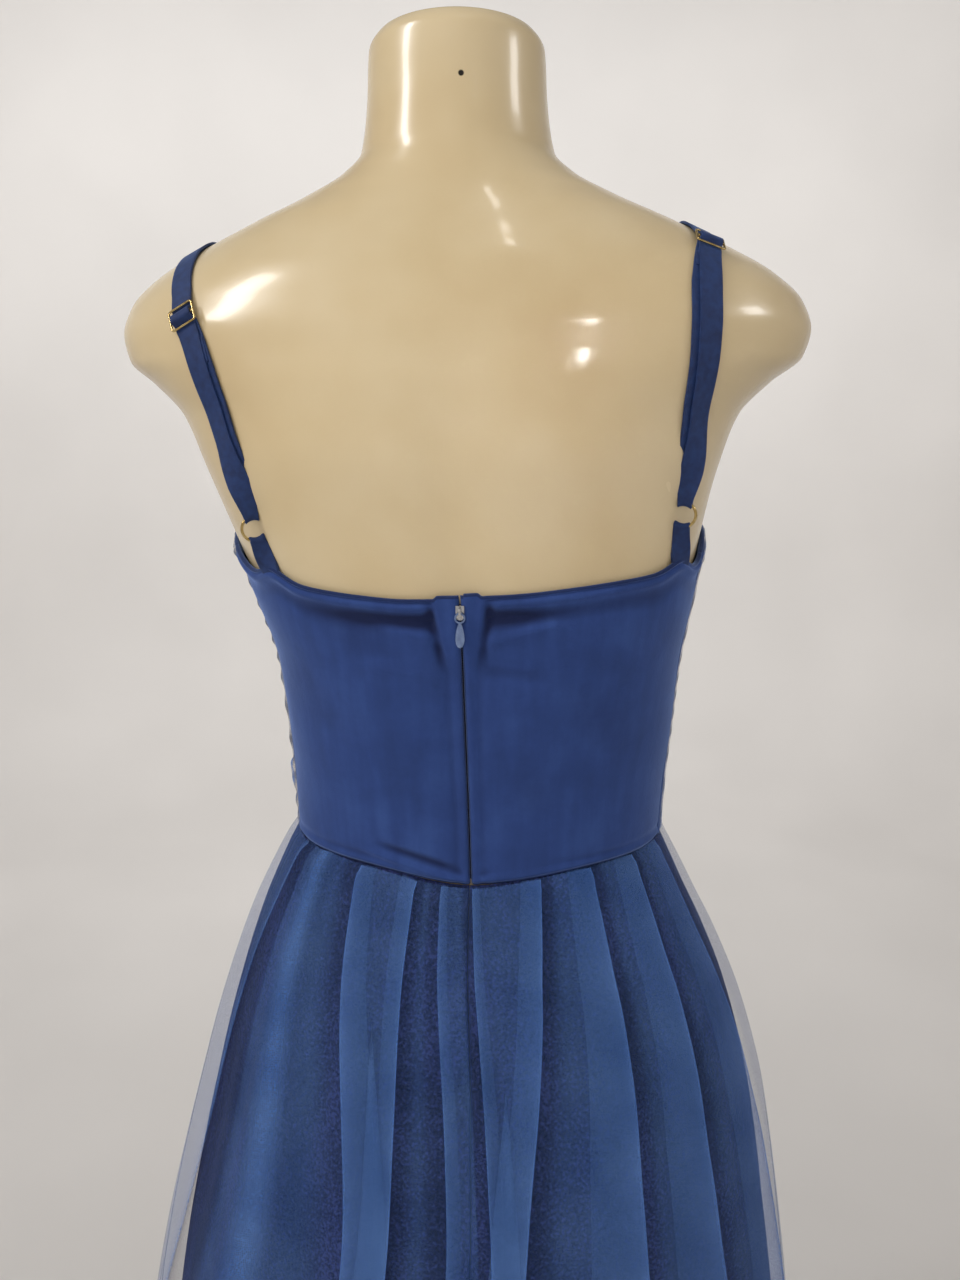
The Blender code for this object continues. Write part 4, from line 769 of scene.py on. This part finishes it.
ruche_phase = ruche_phase + 0.35 * np.sin(7 * from_front + 1)
ruche_fold = (0.5 + 0.5 * np.sin(2 * math.pi * ruche_phase)) ** 1.5
at_left = bell(ruche_angle - 0.05, 0.16)
ruche_held = np.sin(math.pi * np.clip(ruche_across, 0.02, 0.98)) ** 0.3 * step(ruche_up, -0.05, 0.12)
at_right = bell(ruche_angle + math.pi + 0.05, 0.3)
ruche_swing = RUCHE_DEPTH * ruche_fold * ruche_held * (1 + 0.7 * at_left - 0.75 * at_right)
ruche_swing = ruche_swing + 3.5 * bell(ruche_height - 42, 7) * bell(ruche_angle - 0.06, 0.07)
ruche_off = BODICE_OUTSIDE + np.maximum(front_relief(ruche_angle, ruche_height), 0) + RUCHE_LIFT + ruche_swing
ruche_grid = cloth_on_body(ruche_angle + 0 * ruche_height, ruche_height, ruche_off)
ruche = surface("bodice_front_ruched_tulle", ruche_grid, tulle)
mark(ruche, "net_cover_and_shade", 1.6 + 1.4 * ruche_fold)
on_dress(ruche, "tulle")


# Straps: 13 mm tape of the same crepe, folded and pressed flat. Each runs from the front edge over the
# shoulder, under the slider's frame and over its bar, down to the ring, round it and back up to the bar,
# where its end is sewn down. A short folded tab holds each ring to the back's top edge.
# Columns: x, y, height above the waist, from the front edge to the ring
STRAP_ROUTES = {
    "left": (
        (103, -99, 232.4), (107, -95, 250), (116, -85, 275), (128, -71, 300), (140, -54, 323),
        (150, -32, 345), (157, -8, 359), (160, 14, 362), (162, 34, 356), (161, 52, 341), (156, 65, 320),
        (150, 70, 303), (145, 72, 285), (138.5, 72, 265), (131, 73, 244), (125.5, 73, 225),
        (123.5, 72, 213.5),
    ),
    "right": (
        (-88.5, -99, 234.3), (-92, -95, 250), (-99, -85, 275), (-106, -70, 302), (-111, -52, 330),
        (-115, -30, 354), (-118, -6, 370), (-121, 16, 372), (-123, 34, 363), (-123, 46, 355),
        (-122, 59, 343), (-121, 70, 319), (-120, 73, 289), (-118, 70, 258), (-115, 67, 232),
        (-113.2, 65, 220.5),
    ),
}
STRAP_WIDTH, STRAP_NARROW, STRAP_WALL = 13.0, 7.6, 1.1
STRAP_LOW, STRAP_HIGH = 1.4, 2.8
SLIDER_FROM_RING = {"left": 110.0, "right": 143.0}
SLIDER_WIDTH, SLIDER_HEIGHT, SLIDER_WIRE = 17.5, 12.5, 1.3
SLIDER_STAND_OFF, SLIDER_REACH = 4.3, 7.0
RING_RADIUS, RING_WIRE, LOOP_RADIUS = 6.8, 0.8, 1.6
LOOP_RUN, LOOP_WIDENS, LOOP_FLATTENS = 16.0, 18.0, 14.0
SLOT_REACH, BAR_REACH, TAPE_CLEARS, FOOT_RISE = 4.3, 1.1, 0.95, 0.9
RETURN_SHIFT = {"left": -3.0, "right": 4.0}
SEWN_END = {"left": (14.0, 27.0), "right": (12.0, 21.0)}
RING_TURN, RING_TURN_RUN, RING_LIFT = 32.0, 45.0, 2.0
TAB_WIDTH_TOP, TAB_WIDTH_FOOT, TAB_FOOT_DROP, TAB_FOOT_TURN = 8.4, 14.0, 6.0, 0.04
TAB_LAYER = 0.65
STATION_STEP = 2.5

skin_points = [Vector(p) for p in form_grid.reshape(-1, 3)]
skin = BVHTree.FromPolygons(skin_points, grid_quads(FORM_LEVELS, FORM_TURN, True).tolist())


def smoothed(values, reach=4):
    """The running mean of a list of points over a few neighbours on both sides."""
    padded = np.pad(values, ((reach, reach), (0, 0)), mode="edge")
    return np.stack([padded[k : k + len(values)] for k in range(2 * reach + 1)]).mean(axis=0)


class Track:
    """A strap's way over the torso by distance from its ring, straight where the slider grips it."""

    def __init__(self, route, slider_at):
        points = np.array(route, float) + (0, 0, WAIST)
        chord = np.concatenate([[0], np.cumsum(np.linalg.norm(np.diff(points, axis=0), axis=1))])
        fine = smooth_columns(np.column_stack([chord, points]), np.linspace(0, chord[-1], 400)).T
        length = np.concatenate([[0], np.cumsum(np.linalg.norm(np.diff(fine, axis=0), axis=1))])
        self.distance = np.linspace(0, length[-1], 80)
        even = np.stack([np.interp(self.distance, length, fine[:, k]) for k in range(3)], axis=-1)
        found = [skin.find_nearest(Vector(p))[:2] for p in even]
        self.points = np.array([p for p, _ in found])[::-1]
        self.out = smoothed(np.array([n for _, n in found])[::-1])
        self.out /= np.linalg.norm(self.out, axis=1, keepdims=True)
        across = np.cross(self.out, np.gradient(self.points, axis=0))
        self.across = across / np.linalg.norm(across, axis=1, keepdims=True)
        self.length = length[-1]
        self.slider_at = slider_at
        needed = np.zeros((len(self.points), 1))
        for share in (-0.5, -0.25, 0.25, 0.5):
            edge = self.points + self.across * STRAP_WIDTH * share
            near = [skin.find_nearest(Vector(p))[:2] for p in edge]
            inside = [-(Vector(p) - q).dot(n) for p, (q, n) in zip(edge, near)]
            needed = np.maximum(needed, np.array(inside)[:, None])
        turned = 1 - step(self.distance, 0, RING_TURN_RUN)[:, None]
        self.points = self.points + self.out * (smoothed(needed) + RING_LIFT * turned)
        ahead = np.cross(self.across, self.out)
        way = np.sign(np.cross(self.out, [0, 1, 0]) * ahead).sum(axis=1, keepdims=True)
        turn = np.radians(RING_TURN) * turned * way
        turned_out = self.out * np.cos(turn) + np.cross(ahead, self.out) * np.sin(turn)
        self.across = self.across * np.cos(turn) + np.cross(ahead, self.across) * np.sin(turn)
        self.out = turned_out

    def read(self, values, distance):
        return np.stack([np.interp(distance, self.distance, values[:, k]) for k in range(3)], axis=-1)

    def frame(self, distance):
        """Points on the torso, the way out and the way across."""
        distance = np.atleast_1d(np.asarray(distance, float))
        points, out, across = (self.read(v, distance) for v in (self.points, self.out, self.across))
        middle, side = (self.read(v, self.slider_at) for v in (self.points, self.across))
        along = self.read(self.points, self.slider_at + 5) - self.read(self.points, self.slider_at - 5)
        along -= np.dot(along, side) * side
        along /= np.linalg.norm(along)
        run = (np.abs(distance - self.slider_at) <= SLIDER_REACH)[:, None]
        points = np.where(run, middle + (distance - self.slider_at)[:, None] * along, points)
        return points, np.where(run, np.cross(along, side), out), np.where(run, side, across)


def tape(name, centres, across, widths, sag, down, finish):
    """A tape along a line of centres: nine points wide, with rounded edges, and bent to the ring's curve
    where sag is 1."""
    share = np.linspace(-1, 1, 9)[:, None, None]
    side = share * np.asarray(widths, float)[None, :, None] / 2
    drop = RING_RADIUS - np.sqrt(RING_RADIUS**2 - np.minimum(np.abs(side), STRAP_NARROW / 2) ** 2)
    grid = centres[None] + side * across[None] + drop * np.asarray(sag, float)[None, :, None] * down
    made = surface(name, grid, finish)
    wall(made, STRAP_WALL, 0.0)
    bevel = made.modifiers.new("edge", "BEVEL")
    bevel.width = 0.35 * MM
    bevel.segments = 2
    return made


def half_circle(centre, start, through, radius, steps):
    """The inner points of a half circle that starts on one side and goes through its far end."""
    turn = np.linspace(0, math.pi, steps + 2)[1:-1, None]
    return centre + radius * (np.cos(turn) * start + np.sin(turn) * through)


# The straps' crepe: the bodice's own, but darker, because its nap lies flat along the tape.
strap_crepe, shader, place = new_material(
    "royal_blue_strap_crepe", Roughness=0.7, Sheen_Weight=0.5, Sheen_Roughness=0.4, Sheen_Tint="7F9FDB"
)
nap = add_node(strap_crepe, "TexNoise", ("Vector", place, "Object"), Scale=260.0, Detail=4.0)
tone = add_node(strap_crepe, "ValToRGB", ("Fac", nap, "Fac"), stops=((0.3, "122550"), (0.7, "1B3467")))
bump = add_node(strap_crepe, "Bump", ("Height", nap, "Fac"), Strength=0.3, Distance=0.0004)
set_up(shader, [("Base Color", tone, "Color"), ("Normal", bump, "Normal")], {})

# Rings and sliders: zinc, die-cast and plated in pale gold, with the soft haze of barrel polishing.
gold, shader, place = new_material("pale_gold_plated_zinc", Metallic=1.0)
haze = add_node(gold, "TexNoise", ("Vector", place, "Object"), Scale=400.0, Detail=3.0)
tone = add_node(gold, "ValToRGB", ("Fac", haze, "Fac"), stops=((0.3, "B79A5C"), (0.7, "DCC58D")))
rough = add_node(gold, "MapRange", ("Value", haze, "Fac"), To_Min=0.12, To_Max=0.28)
set_up(shader, [("Base Color", tone, "Color"), ("Roughness", rough, "Result")], {})


def placed(origin, across, out):
    """A matrix whose X runs across, whose Z runs out and whose place is the origin."""
    x = Vector(across).normalized()
    z = (Vector(out) - Vector(out).dot(x) * x).normalized()
    return Matrix.Translation(Vector(origin)) @ Matrix((x, z.cross(x), z)).transposed().to_4x4()


def torus(name, radius, wire, matrix, finish, around=72, over=16):
    """A ring: a small circle carried round a large one, then placed."""
    turn = np.arange(around)[None, :] * 2 * math.pi / around
    tilt = np.arange(over)[:, None] * -2 * math.pi / over
    reach = radius + wire * np.cos(tilt)
    points = np.stack([reach * np.cos(turn), reach * np.sin(turn), wire * np.sin(tilt) + 0 * turn], axis=-1)
    points = points @ np.array(matrix.to_3x3()).T + np.array(matrix.translation)
    return surface(name, points, finish, True, tube=True)


def rounded_rectangle(width, height, corner, steps=6):
    """A closed outline: four quarter circles joined by straight sides."""
    turn = np.radians(np.array([0, 90, 180, 270])[:, None] + np.linspace(0, 90, steps)[None, :])
    centre_x = (np.array([1, -1, -1, 1]) * (width / 2 - corner))[:, None]
    centre_y = (np.array([1, 1, -1, -1]) * (height / 2 - corner))[:, None]
    points = np.stack([centre_x + corner * np.cos(turn), centre_y + corner * np.sin(turn)], axis=-1)
    return points.reshape(-1, 2)


def wire_along(name, outline, wire, flatten, matrix, finish, closed=True):
    """A cast wire whose oval section, flattened in Z, is carried along a plane outline."""
    ahead = np.roll(outline, -1, axis=0) - np.roll(outline, 1, axis=0)
    if not closed:
        ahead = np.gradient(outline, axis=0)
    side = np.stack([ahead[:, 1], -ahead[:, 0]], axis=-1)
    side /= np.linalg.norm(side, axis=1, keepdims=True)
    tilt = np.arange(12)[:, None] * -2 * math.pi / 12
    flat = outline[None] + wire / 2 * np.cos(tilt)[..., None] * side[None]
    rise = wire / 2 * flatten * np.sin(tilt) + 0 * flat[..., 0]
    points = np.concatenate([flat, rise[..., None]], axis=-1)
    points = points @ np.array(matrix.to_3x3()).T + np.array(matrix.translation)
    count, columns = rise.size, len(outline)
    caps = () if closed else (range(0, count, columns), range(count - 1, -1, -columns))
    return surface(name, points, finish, closed, caps, True)


def merged(name, pieces):
    """Joins pieces into the first one and names it."""
    with bpy.context.temp_override(active_object=pieces[0], selected_editable_objects=pieces):
        bpy.ops.object.join()
    pieces[0].name = name
    return pieces[0]


for side, route in STRAP_ROUTES.items():
    slider_at = SLIDER_FROM_RING[side]
    track = Track(route, slider_at)
    over_bar = SLIDER_STAND_OFF + SLIDER_WIRE / 2 + TAPE_CLEARS
    under_frame = SLIDER_STAND_OFF - SLIDER_WIRE / 2 - TAPE_CLEARS
    lift_table = (
        (0, STRAP_LOW + 2 * LOOP_RADIUS),
        (LOOP_RUN, STRAP_HIGH),
        (slider_at - SLIDER_REACH, under_frame),
        (slider_at - SLOT_REACH, under_frame),
        (slider_at - BAR_REACH, over_bar),
        (slider_at + BAR_REACH, over_bar),
        (slider_at + SLOT_REACH, under_frame),
        (slider_at + SLIDER_REACH, under_frame),
        (slider_at + LOOP_RUN, STRAP_LOW),
        (track.length, STRAP_LOW + FOOT_RISE),
    )
    stations = np.linspace(track.length, 0, round(track.length / STATION_STEP))
    stations = np.sort(np.concatenate([stations, slider_at + np.linspace(-SLOT_REACH, SLOT_REACH, 12)]))[::-1]
    points, out, across = track.frame(stations)
    outer = points + out * smooth_columns(lift_table, stations)[0][:, None]

    return_length = slider_at - SLIDER_REACH
    inner_at = np.linspace(0, slider_at - 0.4, round(slider_at / STATION_STEP))
    inner_lift = ((0, STRAP_LOW), (return_length, STRAP_LOW), (slider_at, under_frame - 0.1))
    inner_points, inner_out, inner_across = track.frame(inner_at)
    inner = inner_points + inner_out * smooth_columns(inner_lift, inner_at)[0][:, None]
    fade = np.clip(inner_at / 40, 0, 1) * np.clip((slider_at - inner_at) / 30, 0, 1)
    inner = inner + inner_across * (RETURN_SHIFT[side] * fade)[:, None]

    end, end_out, end_across = (v[0] for v in track.frame(0.0))
    down = end - track.frame(4.0)[0][0]
    down -= np.dot(down, end_across) * end_across
    down /= np.linalg.norm(down)
    end_out = np.cross(end_across, down)
    end_out *= np.sign(np.dot(end_out, out[-1]))
    wire_at = end + end_out * (STRAP_LOW + LOOP_RADIUS)
    turn = half_circle(wire_at, end_out, down, LOOP_RADIUS, 9)
    outer[-1], inner[0] = wire_at + end_out * LOOP_RADIUS, wire_at - end_out * LOOP_RADIUS
    centres = np.concatenate([outer, turn, inner])
    sides = np.concatenate([across, np.repeat(end_across[None], len(turn), axis=0), inner_across])
    distances = np.concatenate([stations, np.zeros(len(turn)), inner_at])
    width_table = ((0, STRAP_NARROW), (LOOP_WIDENS, STRAP_WIDTH), (track.length, STRAP_WIDTH))
    widths = smooth_columns(width_table, distances)[0]
    sag = np.clip(1 - distances / LOOP_FLATTENS, 0, 1)
    strap = tape(f"strap_{side}_tape", centres, sides, widths, sag, down, strap_crepe)
    on_dress(strap, "bodice_cloth", f"strap_{side}")

    end_at = slider_at - np.linspace(*SEWN_END[side], 8)
    end_points, end_outs, end_sides = track.frame(end_at)
    end_centres = end_points + end_outs * (under_frame + STRAP_LOW) / 2
    end_centres = end_centres + end_sides * RETURN_SHIFT[side] * 0.25
    end_widths = STRAP_WIDTH + 1.2 + 1.8 * step(-end_at, 2.0 - SEWN_END[side][1], 5.0)
    end_name, no_sag = f"strap_{side}_sewn_end", 0 * end_at
    sewn_end = tape(end_name, end_centres, end_sides, end_widths, no_sag, np.zeros(3), strap_crepe)
    on_dress(sewn_end, "bodice_cloth")
    flat = (STRAP_WIDTH * MM, line_length(centres) * MM)

    ring_centre = wire_at + down * RING_RADIUS
    ring_place = placed(ring_centre, end_across, end_out)
    ring = torus(f"strap_{side}_wire_ring", RING_RADIUS, RING_WIRE, ring_place, gold)
    on_dress(ring, "strap_metal", f"strap_ring_{side}")

    middle, slider_out, slider_across = (v[0] for v in track.frame(slider_at))
    slider_place = placed(middle + slider_out * SLIDER_STAND_OFF, slider_across, slider_out)
    outline = rounded_rectangle(SLIDER_WIDTH - SLIDER_WIRE, SLIDER_HEIGHT - SLIDER_WIRE, 1.6)
    bar_reach = SLIDER_WIDTH / 2 - SLIDER_WIRE * 0.6
    bar_ends = np.stack([np.linspace(-bar_reach, bar_reach, 9), np.zeros(9)], axis=-1)
    slider = merged(
        f"strap_{side}_cast_slider",
        [
            wire_along("frame", outline, SLIDER_WIRE, 0.85, slider_place, gold),
            wire_along("bar", bar_ends, SLIDER_WIRE, 0.85, slider_place, gold, closed=False),
        ],
    )
    on_dress(slider, "strap_metal", f"strap_slider_{side}")

    foot_angles = math.radians(TAB_FOOT_ANGLE[side]) + np.array([0.0, -TAB_FOOT_TURN, TAB_FOOT_TURN])
    foot_heights = top_edge(foot_angles) - TAB_FOOT_DROP
    foot, before, after = cloth_on_body(foot_angles, foot_heights, (BODICE_OUTSIDE + FACING_LIFT) / 2)
    foot_out = foot - cloth_on_body(foot_angles, foot_heights, (BODICE_OUTSIDE + FACING_LIFT) / 2 - 1)[0]
    foot_across = (after - before) * np.sign(np.dot(after - before, end_across))
    foot_across /= np.linalg.norm(foot_across)
    tab_wire = ring_centre + down * RING_RADIUS
    share = np.linspace(0, 0.92, 14)[:, None]
    legs = []
    for way in (1, -1):
        at_wire = TAB_LAYER + (LOOP_RADIUS - TAB_LAYER) * share**4
        apart = TAB_LAYER * foot_out * (1 - share) + at_wire * end_out * share
        legs.append(foot + share * (tab_wire - foot) + way * apart)
    tab_turn = half_circle(tab_wire, end_out, -down, LOOP_RADIUS, 9)
    tab_ends = tab_wire + LOOP_RADIUS * end_out, tab_wire - LOOP_RADIUS * end_out
    centres = np.concatenate([legs[0], [tab_ends[0]], tab_turn, [tab_ends[1]], legs[1][::-1]])
    up_share = np.concatenate([share[:, 0], np.ones(len(tab_turn) + 2), share[::-1, 0]])
    sides = foot_across + up_share[:, None] * (end_across - foot_across)
    sides /= np.linalg.norm(sides, axis=1, keepdims=True)
    tab_widths = TAB_WIDTH_FOOT + up_share * (TAB_WIDTH_TOP - TAB_WIDTH_FOOT)
    tab = tape(f"ring_tab_{side}_tape", centres, sides, tab_widths, up_share**3, -down, strap_crepe)
    on_dress(tab, "bodice_cloth", f"ring_tab_{side}")


# Zip slider and pull: the small cast slider that closes the coils, and the teardrop that swings on its
# bridge. Both are zinc; the slider is nickel-plated and the pull enamelled in a pale grey-blue.
nickel, shader, place = new_material("nickel_plated_zinc", Metallic=1.0)
haze = add_node(nickel, "TexNoise", ("Vector", place, "Object"), Scale=500.0, Detail=3.0)
tone = add_node(nickel, "ValToRGB", ("Fac", haze, "Fac"), stops=((0.3, "B4B6BA"), (0.7, "D8D9DC")))
rough = add_node(nickel, "MapRange", ("Value", haze, "Fac"), To_Min=0.15, To_Max=0.35)
set_up(shader, [("Base Color", tone, "Color"), ("Roughness", rough, "Result")], {})
enamel, shader, place = new_material("grey_blue_enamel", Coat_Weight=0.6, Coat_Roughness=0.1)
flow = add_node(enamel, "TexNoise", ("Vector", place, "Object"), Scale=300.0, Detail=2.0)
tone = add_node(enamel, "ValToRGB", ("Fac", flow, "Fac"), stops=((0.3, "56698F"), (0.7, "7186AE")))
set_up(shader, [("Base Color", tone, "Color")], {})
for node, finish in (("zip_slider", nickel), ("zip_pull", enamel)):
    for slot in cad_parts[node].material_slots:
        slot.material = finish


# Studio: a round pale cyclorama whose floor curves up into its wall, soft light that leaves no
# reflection of its own, and four small lamps that give the torso the photograph's highlights. The last
# one is narrowed to the right shoulder blade, so that the neck doesn't mirror it.
CYC_FLAT, CYC_RADIUS, CYC_HEIGHT = 2600.0, 900.0, 5600.0
sweep_turn = np.linspace(0, math.pi / 2, 12)
sweep_out = np.concatenate([[1.0, 1200], CYC_FLAT + CYC_RADIUS * np.sin(sweep_turn), [CYC_FLAT + CYC_RADIUS]])
sweep_up = np.concatenate([[0.0, 0.0], CYC_RADIUS * (1 - np.cos(sweep_turn)), [CYC_HEIGHT]])
sweep_angle = -np.arange(96)[None, :] * 2 * math.pi / 96
sweep_across = sweep_out[:, None] * np.cos(sweep_angle), sweep_out[:, None] * np.sin(sweep_angle)
sweep = np.stack([*sweep_across, sweep_up[:, None] + 0 * sweep_angle], axis=-1)
paint, shader, place = new_material("matt_pale_wall_paint", Roughness=0.9)
roller = add_node(paint, "TexNoise", ("Vector", place, "Object"), Scale=1.4, Detail=2.0)
tone = add_node(paint, "ValToRGB", ("Fac", roller, "Fac"), stops=((0.3, "DCD9D6"), (0.7, "E4E1DE")))
set_up(shader, [("Base Color", tone, "Color")], {})
cyclorama = surface("cyclorama", sweep, paint, True, (range(96),))


def softbox(name, azimuth, elevation, distance, width, height, watts, tint="FFFFFF"):
    """A square lamp that faces the shoulders, by its direction from them. Azimuth 0 is behind the wearer
    and 90 at the wearer's left."""
    aim = Vector((0.0, 0.02, 1.32))
    turn, tilt = math.radians(azimuth), math.radians(elevation)
    way = Vector((math.sin(turn) * math.cos(tilt), math.cos(turn) * math.cos(tilt), math.sin(tilt)))
    lamp = bpy.data.lights.new(name, "AREA")
    lamp.shape = "RECTANGLE"
    lamp.size, lamp.size_y = width, height
    lamp.energy = watts
    lamp.color = colour(tint)[:3]
    made = bpy.data.objects.new(name, lamp)
    made.location = aim + way * distance
    made.rotation_mode = "QUATERNION"
    made.rotation_quaternion = way.to_track_quat("Z", "Y")
    bpy.context.scene.collection.objects.link(made)
    return made


softbox("window_left", 63, 38, 2.3, 0.3, 1.0, 19)
softbox("window_right", -78, 29, 2.3, 0.4, 0.3, 5)
softbox("ceiling_middle", -12, 69, 1.8, 0.06, 0.06, 0.3)
unseen = [softbox("key", 20, 40, 2.2, 1.4, 0.8, 8, "FFF9F0")]
unseen.append(softbox("camera_fill", 8, 10, 2.9, 2.4, 1.6, 17, "FFF9F0"))
for name, side, watts in (("front_wash", -1, 38), ("back_wash", 1, 16)):
    wash = softbox(name, 0, 88, 2.2, 3.0, 0.8, watts)
    wash.location = (0.3, side * 0.7, 3.2)
    wash.rotation_quaternion = Vector((0, -side * 0.84, 0.54)).to_track_quat("Z", "Y")
    wash.data.spread = math.radians(130)
    unseen.append(wash)
for lamp in unseen:
    lamp.visible_glossy = False
blade_spot = softbox("ceiling_right", -24, 33, 2.3, 0.1, 0.1, 0.009)
blade_spot.location.z -= 0.08
blade_spot.data.spread = math.radians(9)

world = bpy.data.worlds.new("soft_daylight")
world.use_nodes = True
world.node_tree.nodes["Background"].inputs["Color"].default_value = colour("F4F6FA")
world.node_tree.nodes["Background"].inputs["Strength"].default_value = 0.25
bpy.context.scene.world = world


# Camera: a phone's wide lens held close behind the dress, a little left of its middle and above its top
# edge, tipped down by 12 degrees.
LENS, SENSOR = 26.0, 36.0
CAMERA_TURN, CAMERA_TIP, CAMERA_ROLL = math.radians(2.742), math.radians(12.217), math.radians(0.233)
CAMERA_DISTANCE, CAMERA_SHIFT, CAMERA_HEIGHT = 581.47, -1.635, 1303.63
to_right = Vector((-math.cos(CAMERA_TURN), -math.sin(CAMERA_TURN), 0))
away = Vector((-math.sin(CAMERA_TURN), math.cos(CAMERA_TURN), 0))
camera_place = away * CAMERA_DISTANCE + to_right * CAMERA_SHIFT
camera_place.z = CAMERA_HEIGHT
ahead = -away * math.cos(CAMERA_TIP) - Vector((0, 0, math.sin(CAMERA_TIP)))
upwards = to_right.cross(ahead)
rolled_right = to_right * math.cos(CAMERA_ROLL) - upwards * math.sin(CAMERA_ROLL)
rolled_up = to_right * math.sin(CAMERA_ROLL) + upwards * math.cos(CAMERA_ROLL)
camera_axes = Matrix((rolled_right, rolled_up, -ahead)).transposed().to_4x4()
lens = bpy.data.cameras.new("phone")
lens.lens, lens.sensor_width = LENS, SENSOR
camera = bpy.data.objects.new("phone", lens)
camera.matrix_world = Matrix.Translation(camera_place * MM) @ camera_axes
bpy.context.scene.collection.objects.link(camera)
bpy.context.scene.camera = camera
